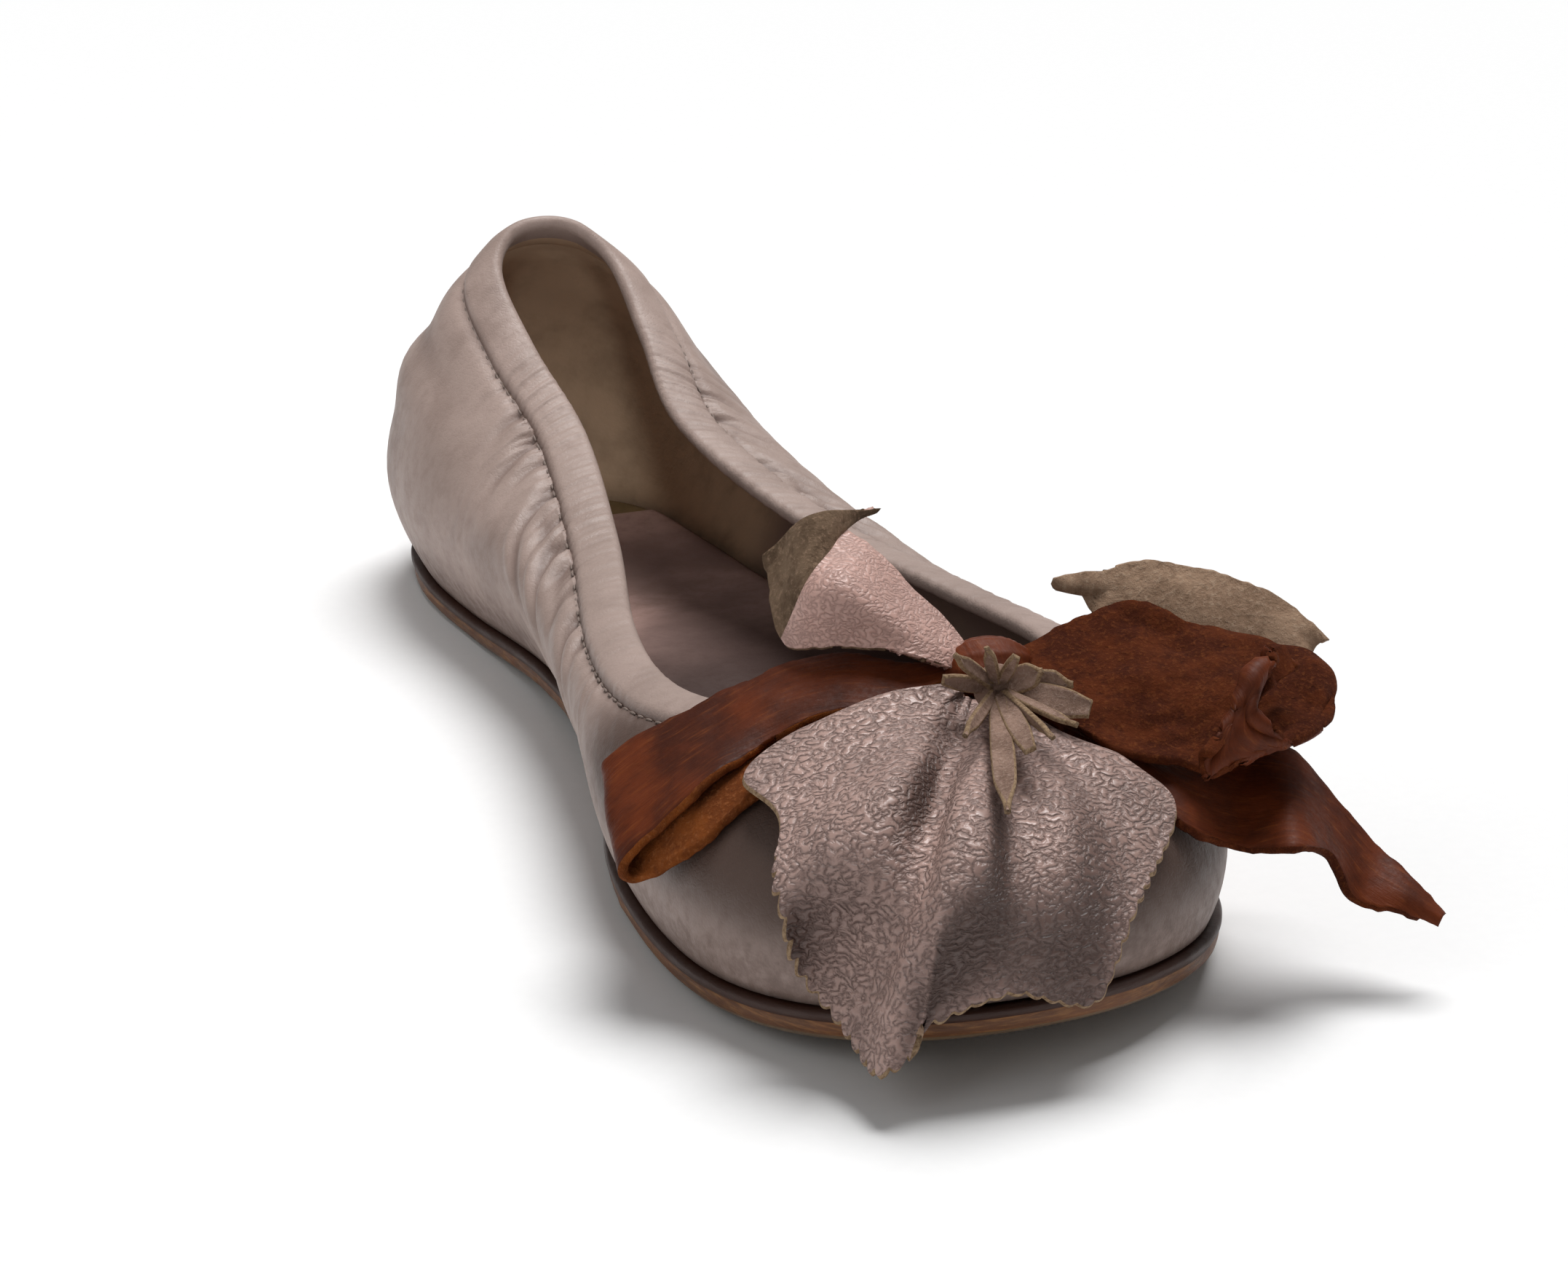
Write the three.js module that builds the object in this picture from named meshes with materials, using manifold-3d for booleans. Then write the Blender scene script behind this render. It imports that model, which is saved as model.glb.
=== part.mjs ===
// A left-foot ballet flat: leather outsole, insole, hollow upper with a gathered topline, and a leather bow
// with a leaf-and-petal flower on the vamp. Millimetres, +Z up, toe towards -Y, inner side of the foot at -X.
// The origin lies on the floor under the middle of the heel.
import * as THREE from "three";
import { mergeVertices } from "three/addons/utils/BufferGeometryUtils.js";
import Module from "manifold-3d";

const kernel = await Module();
kernel.setup();

// Driving dimensions of the shoe.
const LENGTH = 245;
const BALL_WIDTH = 84;
const HEEL_HEIGHT = 65;
const INSTEP_HEIGHT = 36;
const HEEL_CENTRE = 30;
const WALL = 1.4;
const GAP = 0.3;

// Driving dimensions of the sole and the footbed.
const SOLE_THICKNESS = 4.6;
const SOLE_LEDGE = 1.5;
const SOLE_BEVEL = 1.2;
const RIM_HEIGHT = 1.2;
const RIM_PROUD = 0.4;
const TOE_SPRING = 6;
const TOE_START = 0.77;
const ARCH_RISE = 2.2;
const ARCH = { start: 0.24, full: 0.38, leave: 0.42, end: 0.57 };
const INSOLE_THICKNESS = 2;
const HEEL_PAD_LENGTH = 20;
const HEEL_PAD_THICKNESS = 1.2;

// Driving dimensions of the gathered topline.
const CASING_HEIGHT = 8.5;
const CASING_ROLL = 0.9;
const CASING_EDGE = 0.12;

// Steps between two rows of a table, and steps up the upper's wall.
const STEPS = 3;
const WALL_STEPS = 10;
const CASING_STEPS = 5;

// The sole's edge from heel to toe. along is a share of LENGTH, and inner and outer are shares of BALL_WIDTH
// to the two sides of the shoe's middle. swell and lift pull the upper's wall outwards and upwards, in mm.
const SOLE_EDGE = [
  { along: 0.000, inner: 0.000, outer: 0.000, swell: 9.5, lift: 25 },
  { along: 0.016, inner: 0.167, outer: 0.161, swell: 10.5, lift: 25 },
  { along: 0.065, inner: 0.292, outer: 0.280, swell: 11.5, lift: 23 },
  { along: 0.163, inner: 0.339, outer: 0.327, swell: 12.0, lift: 20 },
  { along: 0.306, inner: 0.310, outer: 0.369, swell: 11.0, lift: 17 },
  { along: 0.449, inner: 0.304, outer: 0.429, swell: 9.5, lift: 15 },
  { along: 0.580, inner: 0.375, outer: 0.488, swell: 8.0, lift: 15 },
  { along: 0.686, inner: 0.464, outer: 0.518, swell: 8.0, lift: 17 },
  { along: 0.784, inner: 0.494, outer: 0.506, swell: 8.0, lift: 19 },
  { along: 0.873, inner: 0.476, outer: 0.452, swell: 8.0, lift: 20 },
  { along: 0.941, inner: 0.393, outer: 0.327, swell: 7.5, lift: 21 },
  { along: 0.986, inner: 0.244, outer: 0.143, swell: 7.0, lift: 21 },
  { along: 1.000, inner: 0.060, outer: -0.060, swell: 7.0, lift: 21 },
];

// The topline over the same places. height runs from 0 at INSTEP_HEIGHT to 1 at HEEL_HEIGHT. hang and drop
// pull the wall below the topline outwards and downwards, in mm.
const TOPLINE = [
  { along: 0.090, inner: 0.000, outer: 0.000, height: 1.000, hang: 15, drop: 11 },
  { along: 0.094, inner: 0.075, outer: 0.080, height: 0.945, hang: 15, drop: 11 },
  { along: 0.118, inner: 0.122, outer: 0.132, height: 0.750, hang: 17, drop: 10 },
  { along: 0.180, inner: 0.110, outer: 0.132, height: 0.420, hang: 21, drop: 8 },
  { along: 0.272, inner: 0.090, outer: 0.114, height: 0.090, hang: 24, drop: 5 },
  { along: 0.416, inner: 0.168, outer: 0.195, height: -0.150, hang: 20, drop: 4 },
  { along: 0.563, inner: 0.285, outer: 0.313, height: -0.215, hang: 15, drop: 3 },
  { along: 0.665, inner: 0.327, outer: 0.363, height: -0.195, hang: 13, drop: 2 },
  { along: 0.733, inner: 0.292, outer: 0.321, height: -0.137, hang: 15, drop: 1 },
  { along: 0.773, inner: 0.214, outer: 0.226, height: -0.078, hang: 18, drop: 0 },
  { along: 0.792, inner: 0.131, outer: 0.131, height: -0.031, hang: 21, drop: 0 },
  { along: 0.799, inner: 0.067, outer: 0.048, height: -0.008, hang: 24, drop: 0 },
  { along: 0.800, inner: 0.012, outer: -0.012, height: 0.000, hang: 25, drop: 0 },
];

// The bow and flower on the vamp. Each table below gives a piece by ribs across it, in mm from the knot.
const KNOT = new THREE.Vector3(6, -172, 38.5);
const KNOT_SIZE = new THREE.Vector3(7, 5.5, 4.4);
const KNOT_RISE = 2.6;
const RIBBON_THICKNESS = 1.4;
const PETAL_THICKNESS = 1.2;
const STAMEN_THICKNESS = 1.1;
const STAMEN_ROOT = 1.4;
const STAMEN_TIP = 1.7;
const STAMEN_START = 0.1;
const FLOWER_FACE = new THREE.Vector3(-0.386, -0.828, 0.407).normalize();
const BUTTON = new THREE.Vector3(-3, -10, 3.5);
const BUTTON_SIZE = new THREE.Vector3(3.4, 3.4, 1.2);

const PETAL_FRONT = [
  { back: [-7, -5, 3], middle: [-21.5, -4.5, 2], front: [-36, -4.5, -2] },
  { back: [-7, -5, 2.5], middle: [-25, -10, 0], front: [-40, -9, -5] },
  { back: [-6.5, -5.5, 2], middle: [-25, -14.5, -1], front: [-38.5, -18.5, -7] },
  { back: [-6.5, -5, 1.5], middle: [-27.5, -23, -3], front: [-42, -26.5, -14.5] },
  { back: [-6, -5.5, 0.5], middle: [-28.5, -31, -6], front: [-40.5, -33, -24.5] },
  { back: [-5.5, -5.5, 0.5], middle: [-27, -37.5, -9.5], front: [-36.5, -47, -31.5] },
  { back: [-5, -5.5, 0], middle: [-23, -38.5, -8], front: [-30, -45.5, -27.5] },
  { back: [-4, -6, 0], middle: [-18, -40, -5], front: [-18, -49, -22.5] },
  { back: [-3, -6.5, 0], middle: [-12, -39.5, -7], front: [-6, -47.5, -26.5] },
  { back: [-2.5, -7, 0], middle: [-5, -33.5, -5], front: [1.5, -44.5, -15.5] },
  { back: [-1.5, -7, 0.5], middle: [2, -26, -3], front: [13.5, -32.5, -9] },
  { back: [-0.5, -7.5, 1], middle: [3.5, -21.5, -2], front: [13.5, -28, -6] },
];

const LOOP_LEFT = [
  { back: [-3.5, 1, 3], middle: [-4, 0, 2.5], front: [-5, -1, 2] },
  { back: [-12, 3.5, 3.5], middle: [-14.5, 0, 2], front: [-16.5, -3, 0.5] },
  { back: [-18.5, 8, 4], middle: [-22, 2.5, 2], front: [-25, -1.5, -0.5] },
  { back: [-26.5, 11, 2], middle: [-30.5, 4.5, -0.5], front: [-34, -1.5, -3.5] },
  { back: [-39, 13.5, -3.5], middle: [-42, 5, -6], front: [-44, -4, -7.5] },
  { back: [-46.5, 16, -7.5], middle: [-49, 6.5, -10.5], front: [-50, -2.5, -13] },
  { back: [-51, 17, -11], middle: [-53.5, 7, -14.5], front: [-55, -2, -18] },
  { back: [-49, 16, -14], middle: [-51.5, 6.5, -17], front: [-52.5, -1.5, -20.5] },
  { back: [-44, 6.5, -8.5], middle: [-46.5, -1, -11.5], front: [-47, -8, -14.5] },
  { back: [-35.5, 6.5, -5.5], middle: [-37, -2, -6], front: [-38, -9.5, -7.5] },
  { back: [-21.5, 4, -1.5], middle: [-22.5, -2, -2], front: [-23.5, -8, -3] },
  { back: [-11, 0.5, 0.5], middle: [-11.5, -2.5, 0], front: [-12, -6, -1.5] },
  { back: [-4, -0.5, 0], middle: [-4, -2, -0.5], front: [-4, -3.5, -1] },
];

const LOOP_RIGHT = [
  { back: [2.5, 0.5, 3.5], middle: [2.5, -1.5, 2.5], front: [2, -3.5, 2] },
  { back: [9, 2.5, 4.5], middle: [7, -6, 2], front: [6, -13, -1.5] },
  { back: [15.5, 3, 6.5], middle: [12.5, -8.5, 2], front: [9, -20.5, -2.5] },
  { back: [23, 2.5, 8], middle: [18.5, -11.5, 2], front: [15, -23.5, -5] },
  { back: [30, -1.5, 6.5], middle: [24.5, -15, 0.5], front: [20, -26, -6] },
  { back: [37.5, -8.5, 4], middle: [30.5, -19, 0], front: [22, -27.5, -5] },
  { back: [43.5, -16, 2], middle: [34.5, -23.5, -0.5], front: [23.5, -29, -3.5] },
  { back: [40.5, -24.5, -2], middle: [33.5, -28.5, -2], front: [24, -31.5, -3] },
  { back: [32, -30, -2], middle: [27.5, -31.5, -2], front: [21, -33.5, -3] },
  { back: [26, -29.5, 3.5], middle: [23, -31.5, 1], front: [17.5, -34.5, -3] },
  { back: [30.5, -25, 8], middle: [25.5, -28.5, 5.5], front: [17, -33.5, -2] },
];

const TAIL_RIGHT = [
  { back: [3.5, -1, -1], middle: [3, -2.5, -1.5], front: [2.5, -4.5, -2] },
  { back: [13.5, -4.5, -3.5], middle: [10.5, -12, -3.5], front: [8.5, -18.5, -4.5] },
  { back: [21, -14, -7], middle: [17, -23, -8], front: [14.5, -30, -11] },
  { back: [28, -18.5, -7.5], middle: [26.5, -24.5, -12], front: [23.5, -31, -16] },
  { back: [36.5, -19.5, -8], middle: [33, -28.5, -11.5], front: [29, -37.5, -14.5] },
  { back: [42.5, -24, -15], middle: [39.5, -29, -17], front: [36, -34, -18] },
  { back: [47, -28.5, -21], middle: [43.5, -32, -22.5], front: [40.5, -35, -25] },
  { back: [49.5, -34.5, -24], middle: [47.5, -36.5, -25], front: [46, -37.5, -26.5] },
  { back: [52.5, -38.5, -28], middle: [51.5, -39.5, -28], front: [51, -39.5, -29] },
];

const PETAL_BUD = [
  { back: [-1.5, 1, 3.5], middle: [-2, 0, 3], front: [-2.5, -0.5, 1.5] },
  { back: [-4, 5.5, 8], middle: [-8, 1, 7], front: [-10.5, -1, 5.5] },
  { back: [-8, 10, 12.5], middle: [-14, 3, 11], front: [-16.5, 2.5, 7] },
  { back: [-11.5, 15, 17], middle: [-19.5, 6, 15], front: [-23, 6.5, 6.5] },
  { back: [-13.5, 19, 19], middle: [-22.5, 10, 15.5], front: [-26, 11.5, 6.5] },
  { back: [-7, 22.5, 20], middle: [-19, 18, 21.5], front: [-25, 21.5, 15.5] },
];

const PETAL_RIGHT = [
  { back: [3, 3, 1.5], middle: [4, 2, 1], front: [4.5, 1.5, 0] },
  { back: [15, 10.5, 5], middle: [15, 7, 2.5], front: [15.5, 3.5, 0.5] },
  { back: [25, 11.5, 10.5], middle: [26, 6.5, 5.5], front: [27.5, 2.5, 0.5] },
  { back: [35.5, 8, 10.5], middle: [35.5, 2.5, 6], front: [36.5, -2.5, 1] },
  { back: [45.5, -1.5, 7], middle: [44.5, -4.5, 4.5], front: [44.5, -7, 1.5] },
  { back: [49.5, -8, 2.5], middle: [48.5, -7.5, 2], front: [47.5, -7.5, 1] },
];

const STAMEN_ENDS = [
  [-10, -7.5, 4.5],
  [-8.5, -8, 8],
  [-5, -10.5, 9.5],
  [-1.5, -12.5, 8.5],
  [2, -13.5, 6.5],
  [6, -15, 4.5],
  [6.5, -19.5, 2.5],
  [2, -24.5, 2.5],
  [-2.5, -26.5, 2],
  [-7, -29, 2],
  [-16, -41.5, -0.5],
  [-13.5, -22.5, 2.5],
];

// Height of the sole's underside along the shoe: flat under heel and forefoot, raised at arch and toe.
function undersideHeight(along) {
  const rise = THREE.MathUtils.smoothstep(along, ARCH.start, ARCH.full);
  const fall = THREE.MathUtils.smoothstep(along, ARCH.leave, ARCH.end);
  const toe = Math.max(0, along - TOE_START) / (1 - TOE_START);
  return ARCH_RISE * (rise - fall) + TOE_SPRING * toe * toe;
}

function alongOf(y) {
  return (HEEL_CENTRE - y) / LENGTH;
}

// A closed run round the shoe: down a table's inner side from heel to toe, and back along its outer side.
function aroundShoe(table, place) {
  const inner = table.map((row) => place(row, -row.inner));
  const outer = table.slice(1, -1).reverse().map((row) => place(row, row.outer));
  const points = [...inner, ...outer];
  const curve = new THREE.CatmullRomCurve3(points, true, "catmullrom", 0.5);
  const count = points.length * STEPS;
  return Array.from({ length: count }, (_, i) => curve.getPoint(i / count));
}

function shoePoint(row, breadth, z) {
  return new THREE.Vector3(breadth * BALL_WIDTH, HEEL_CENTRE - row.along * LENGTH, z);
}

const soleEdge = aroundShoe(SOLE_EDGE, (row, breadth) => shoePoint(row, breadth, 0));
const topline = aroundShoe(TOPLINE, (row, breadth) => {
  return shoePoint(row, breadth, THREE.MathUtils.lerp(INSTEP_HEIGHT, HEEL_HEIGHT, row.height));
});
const lowerPull = aroundShoe(SOLE_EDGE, (row) => new THREE.Vector3(row.swell, row.lift, 0));
const upperPull = aroundShoe(TOPLINE, (row) => new THREE.Vector3(row.hang, row.drop, 0));
const AROUND = soleEdge.length;

// Outward level direction at each point of a ring that runs round the shoe.
function outwards(ring) {
  return ring.map((_, i) => {
    const ahead = ring[(i + 1) % AROUND];
    const behind = ring[(i + AROUND - 1) % AROUND];
    return new THREE.Vector3(behind.y - ahead.y, ahead.x - behind.x, 0).normalize().negate();
  });
}

const soleOut = outwards(soleEdge);
const topOut = outwards(topline);

// The sole's edge moved outwards by a distance, at a height above its underside.
function soleRing(outwardBy, height) {
  return soleEdge.map((p, i) => {
    const moved = p.clone().addScaledVector(soleOut[i], outwardBy);
    moved.z = undersideHeight(alongOf(p.y)) + height;
    return moved;
  });
}

// Each rib of the upper is one curve from the sole's edge up to the topline.
const featherLine = soleRing(-SOLE_LEDGE, SOLE_THICKNESS + GAP);
const ribs = featherLine.map((foot, i) => {
  const top = topline[i];
  const low = foot.clone().addScaledVector(soleOut[i], lowerPull[i].x);
  low.z += lowerPull[i].y;
  const high = top.clone().addScaledVector(topOut[i], upperPull[i].x);
  high.z -= upperPull[i].y;
  return new THREE.CubicBezierCurve3(foot, low, high, top);
});
const casingShare = ribs.map((rib) => 1 - CASING_HEIGHT / rib.getLength());

// A ring round the upper: share(i) along each rib, moved off the surface by a distance.
function upperRing(share, off) {
  const on = ribs.map((rib, i) => rib.getPointAt(share(i)));
  const tangent = ribs.map((rib, i) => rib.getTangentAt(share(i)));
  return on.map((p, i) => {
    const round = on[(i + 1) % AROUND].clone().sub(on[(i + AROUND - 1) % AROUND]);
    const normal = round.cross(tangent[i]).normalize();
    return p.clone().addScaledVector(normal, off);
  });
}

// A closed mesh from points and triangles, turned so that its faces point outwards.
function closedGeometry(points, triangles) {
  const volume = triangles.reduce((sum, [a, b, c]) =>
    sum + points[a].dot(points[b].clone().cross(points[c])), 0);
  const index = triangles.flatMap(([a, b, c]) => (volume < 0 ? [a, c, b] : [a, b, c]));
  const geometry = new THREE.BufferGeometry().setFromPoints(points);
  geometry.setIndex(index);
  geometry.computeVertexNormals();
  return geometry;
}

// Two triangles for each cell between ring r and ring s of a mesh whose rings have the same count.
function band(r, s, count) {
  return Array.from({ length: count }, (_, i) => {
    const j = (i + 1) % count;
    return [[r * count + i, r * count + j, s * count + j], [r * count + i, s * count + j, s * count + i]];
  }).flat();
}

// A skin through rings that close on themselves both ways, as a hoop does.
function hoop(rings) {
  const triangles = rings.flatMap((_, r) => band(r, (r + 1) % rings.length, rings[0].length));
  return closedGeometry(rings.flat(), triangles);
}

// Rungs across one ring from its inner side to its outer side, facing up or down.
function rungs(r, count) {
  const half = count / 2;
  const at = (i) => r * count + ((i + count) % count);
  const cells = [[at(0), at(1), at(-1)]];
  for (let i = 1; i < half - 1; i++) {
    cells.push([at(i), at(i + 1), at(-i)], [at(i + 1), at(-i - 1), at(-i)]);
  }
  cells.push([at(half - 1), at(half), at(half + 1)]);
  return cells;
}

// A slab through rings from its lower face to its upper face.
function slab(rings) {
  const count = rings[0].length;
  const last = rings.length - 1;
  const sides = rings.slice(1).flatMap((_, r) => band(r, r + 1, count));
  const lower = rungs(0, count).map(([a, b, c]) => [a, c, b]);
  return closedGeometry(rings.flat(), [...lower, ...sides, ...rungs(last, count)]);
}

// A closed mesh as a solid that can be cut or joined, and back.
function solidOf(geometry) {
  const bare = new THREE.BufferGeometry().setAttribute("position", geometry.getAttribute("position"));
  const merged = mergeVertices(bare.setIndex(geometry.getIndex()), 1e-4);
  return new kernel.Manifold(new kernel.Mesh({
    numProp: 3,
    vertProperties: merged.getAttribute("position").array,
    triVerts: new Uint32Array(merged.getIndex().array),
  }));
}

function geometryOf(solid) {
  const mesh = solid.getMesh();
  const geometry = new THREE.BufferGeometry();
  geometry.setAttribute("position", new THREE.BufferAttribute(mesh.vertProperties, 3));
  geometry.setIndex(new THREE.BufferAttribute(mesh.triVerts, 1));
  geometry.computeVertexNormals();
  return geometry;
}

function leather(colour, roughness) {
  return new THREE.MeshStandardMaterial({ color: colour, roughness, metalness: 0 });
}

const shoe = new THREE.Group();

function addPiece(name, geometry, material) {
  const mesh = new THREE.Mesh(geometry, material);
  mesh.name = name;
  shoe.add(mesh);
}

// Outsole: a bevel at the floor, a tan edge, and a dark rim that stands out at the top.
function outsole() {
  return slab([
    soleRing(-RIM_PROUD - SOLE_BEVEL, 0),
    soleRing(-RIM_PROUD, SOLE_BEVEL),
    soleRing(-RIM_PROUD, SOLE_THICKNESS - RIM_HEIGHT - GAP),
    soleRing(0, SOLE_THICKNESS - RIM_HEIGHT),
    soleRing(0, SOLE_THICKNESS - GAP),
    soleRing(-RIM_PROUD, SOLE_THICKNESS),
  ]);
}

function upper() {
  const shares = Array.from({ length: WALL_STEPS + 1 }, (_, k) => k / WALL_STEPS);
  const outer = shares.map((k) => upperRing((i) => k * casingShare[i], 0));
  const inner = shares.map((k) => upperRing((i) => k * casingShare[i], -WALL));
  return hoop([...outer, ...inner.reverse()]);
}

// The topline's casing carries on the upper's surface and is rounded and thicker.
function toplineCasing() {
  const steps = Array.from({ length: CASING_STEPS + 1 }, (_, k) => k / CASING_STEPS);
  const start = (i) => casingShare[i] + (GAP / CASING_HEIGHT) * (1 - casingShare[i]);
  const share = (k) => (i) => start(i) + k * (1 - start(i));
  const roll = (k) => CASING_ROLL * Math.sin(Math.PI * THREE.MathUtils.lerp(CASING_EDGE, 1 - CASING_EDGE, k));
  const outer = steps.map((k) => upperRing(share(k), roll(k)));
  const inner = steps.map((k) => upperRing(share(k), -WALL - roll(k)));
  return hoop([...outer, ...inner.reverse()]);
}

// The footbed lies on the sole inside the upper, and a cut across it parts the sock from the heel pad.
function footbed(thickness) {
  const inset = -SOLE_LEDGE - WALL - GAP;
  const floor = SOLE_THICKNESS + GAP;
  return solidOf(slab([soleRing(inset, floor), soleRing(inset, floor + thickness)]));
}

function insole() {
  const cut = HEEL_CENTRE - HEEL_PAD_LENGTH - GAP;
  return geometryOf(footbed(INSOLE_THICKNESS).trimByPlane([0, -1, 0], -cut));
}

function heelPad() {
  const cut = HEEL_CENTRE - HEEL_PAD_LENGTH;
  return geometryOf(footbed(HEEL_PAD_THICKNESS).trimByPlane([0, 1, 0], cut));
}

// The knot's lump, grown by a margin.
function knotLump(margin) {
  const lump = new THREE.SphereGeometry(1, 14, 9);
  lump.scale(KNOT_SIZE.x + margin, KNOT_SIZE.y + margin, KNOT_SIZE.z + margin);
  return lump.translate(KNOT.x, KNOT.y, KNOT.z + KNOT_RISE);
}

// A leather sheet through ribs, each a run of three points across the piece, in mm from the knot.
function sheet(ribs, thickness, across) {
  const columns = ["back", "middle", "front"];
  const point = (rib, name) => new THREE.Vector3(...rib[name]).add(KNOT);
  const lines = columns.map((name) => smooth(ribs.map((rib) => point(rib, name))));
  const along = (ribs.length - 1) * STEPS;
  const rows = Array.from({ length: along + 1 }, (_, i) => {
    const rib = smooth(lines.map((line) => line.getPoint(i / along)));
    return Array.from({ length: across + 1 }, (_, j) => rib.getPoint(j / across));
  });
  const normals = rows.map((row, i) => row.map((_, j) => {
    const ahead = rows[Math.min(i + 1, along)][j].clone().sub(rows[Math.max(i - 1, 0)][j]);
    const aside = row[Math.min(j + 1, across)].clone().sub(row[Math.max(j - 1, 0)]);
    return ahead.cross(aside).normalize();
  }));
  const rings = rows.map((row, i) => {
    const face = (off) => row.map((p, j) => p.clone().addScaledVector(normals[i][j], off));
    return [...face(thickness / 2), ...face(-thickness / 2).reverse()];
  });
  return tube(rings);
}

// A tube through open rings, closed at both ends by a ladder between its two faces.
function tube(rings) {
  const count = rings[0].length;
  const half = count / 2;
  const ladder = (r) => Array.from({ length: half - 1 }, (_, j) => {
    const [a, b] = [r * count + j, r * count + j + 1];
    const [c, d] = [r * count + count - 1 - j, r * count + count - 2 - j];
    return [[a, b, d], [a, d, c]];
  }).flat();
  const sides = rings.slice(1).flatMap((_, r) => band(r, r + 1, count));
  const first = ladder(0).map(([a, b, c]) => [a, c, b]);
  return closedGeometry(rings.flat(), [...first, ...sides, ...ladder(rings.length - 1)]);
}

function smooth(points) {
  return new THREE.CatmullRomCurve3(points, false, "catmullrom", 0.5);
}

// A sheet whose end is caught by the knot stops short of it.
function caughtSheet(ribs, thickness, across) {
  return geometryOf(solidOf(sheet(ribs, thickness, across)).subtract(solidOf(knotLump(GAP))));
}

// Stamens: narrow strips that fan out of one button.
function stamens() {
  const button = new THREE.SphereGeometry(1, 12, 8).scale(...BUTTON_SIZE.toArray());
  button.applyQuaternion(new THREE.Quaternion().setFromUnitVectors(new THREE.Vector3(0, 0, 1), FLOWER_FACE));
  button.translate(KNOT.x + BUTTON.x, KNOT.y + BUTTON.y, KNOT.z + BUTTON.z);
  const strips = STAMEN_ENDS.map((end) => {
    const tip = new THREE.Vector3(...end);
    const run = tip.clone().sub(BUTTON);
    const side = run.clone().cross(FLOWER_FACE).normalize();
    const ribAt = (share, half) => {
      const middle = BUTTON.clone().addScaledVector(run, share);
      const edge = (sign) => middle.clone().addScaledVector(side, sign * half).toArray();
      return { back: edge(-1), middle: middle.toArray(), front: edge(1) };
    };
    return solidOf(sheet([ribAt(STAMEN_START, STAMEN_ROOT), ribAt(1, STAMEN_TIP)], STAMEN_THICKNESS, 2));
  });
  return geometryOf(strips.reduce((sum, strip) => sum.add(strip), solidOf(button)));
}

addPiece("outsole", outsole(), leather(0x6b4226, 0.55));
addPiece("insole", insole(), leather(0x735c55, 0.7));
addPiece("heel_pad", heelPad(), leather(0x8a7350, 0.7));
addPiece("upper", upper(), leather(0x9a8880, 0.42));
addPiece("topline_casing", toplineCasing(), leather(0x9a8880, 0.42));
addPiece("bow_knot", knotLump(0), leather(0x8a4a1e, 0.5));
addPiece("bow_loop_left", caughtSheet(LOOP_LEFT, RIBBON_THICKNESS, 4), leather(0x8a4a1e, 0.5));
addPiece("bow_loop_right", caughtSheet(LOOP_RIGHT, RIBBON_THICKNESS, 6), leather(0x7a3f1c, 0.8));
addPiece("bow_tail_right", caughtSheet(TAIL_RIGHT, RIBBON_THICKNESS, 4), leather(0x7a3f1c, 0.5));
addPiece("petal_front", sheet(PETAL_FRONT, PETAL_THICKNESS, 8), leather(0xa9918d, 0.35));
addPiece("petal_bud", caughtSheet(PETAL_BUD, PETAL_THICKNESS, 6), leather(0xb99a94, 0.4));
addPiece("petal_right", caughtSheet(PETAL_RIGHT, PETAL_THICKNESS, 5), leather(0x8c7a62, 0.85));
addPiece("stamens", stamens(), leather(0x978772, 0.8));

export default shoe;
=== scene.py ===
"""Looks of a left-foot ballet flat: a gathered leather upper on a thin leather sole, with a leather bow and a
leaf-and-petal flower on the vamp. Shapes are worked out in millimetres, +Z up, toe towards -Y, and are turned
to metres where a mesh is made."""

import math

import bmesh
import bpy
import numpy as np
from mathutils import Matrix, Vector


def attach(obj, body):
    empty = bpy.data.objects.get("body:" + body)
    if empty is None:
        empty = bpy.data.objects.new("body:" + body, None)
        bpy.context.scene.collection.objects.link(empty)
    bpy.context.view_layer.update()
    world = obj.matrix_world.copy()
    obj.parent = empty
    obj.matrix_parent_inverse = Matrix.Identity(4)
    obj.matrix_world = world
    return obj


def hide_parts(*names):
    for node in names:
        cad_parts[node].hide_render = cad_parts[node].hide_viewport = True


bl_info = {
    "name": "Ballet Flat Looks",
    "version": (1, 0, 0),
    "blender": (4, 5, 0),
    "location": "3D View > Sidebar > Ballet Flat",
    "description": "Builds the visible leather, suede and stitching of a ballet flat over its packed solids",
    "category": "Object",
}

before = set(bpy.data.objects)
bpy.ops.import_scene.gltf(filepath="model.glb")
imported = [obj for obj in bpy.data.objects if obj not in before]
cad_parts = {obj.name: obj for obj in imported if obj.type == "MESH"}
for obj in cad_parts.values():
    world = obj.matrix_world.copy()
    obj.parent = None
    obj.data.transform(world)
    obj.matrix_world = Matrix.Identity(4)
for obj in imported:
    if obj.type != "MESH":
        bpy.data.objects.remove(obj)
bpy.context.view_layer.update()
MM = 0.001

# Driving dimensions of the shoe, as in the solids.
LENGTH = 245.0
BALL_WIDTH = 84.0
HEEL_HEIGHT = 65.0
INSTEP_HEIGHT = 36.0
HEEL_CENTRE = 30.0
WALL = 1.4
GAP = 0.3
SOLE_THICKNESS = 4.6
SOLE_LEDGE = 1.5
TOE_SPRING = 6.0
ARCH_RISE = 2.2
INSOLE_THICKNESS = 2.0
HEEL_PAD_LENGTH = 20.0
HEEL_PAD_THICKNESS = 1.2
SOCK_ROUNDING = 0.5
PAD_ROUNDING = 0.2
CASING_HEIGHT = 8.5
CASING_ROLL = 0.9

# Where the underside rises to the arch, comes down again and starts to rise to the toe, as shares of LENGTH.
ARCH_START = (0.24, 0.38)
ARCH_END = (0.42, 0.57)
TOE_START = 0.77

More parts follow.
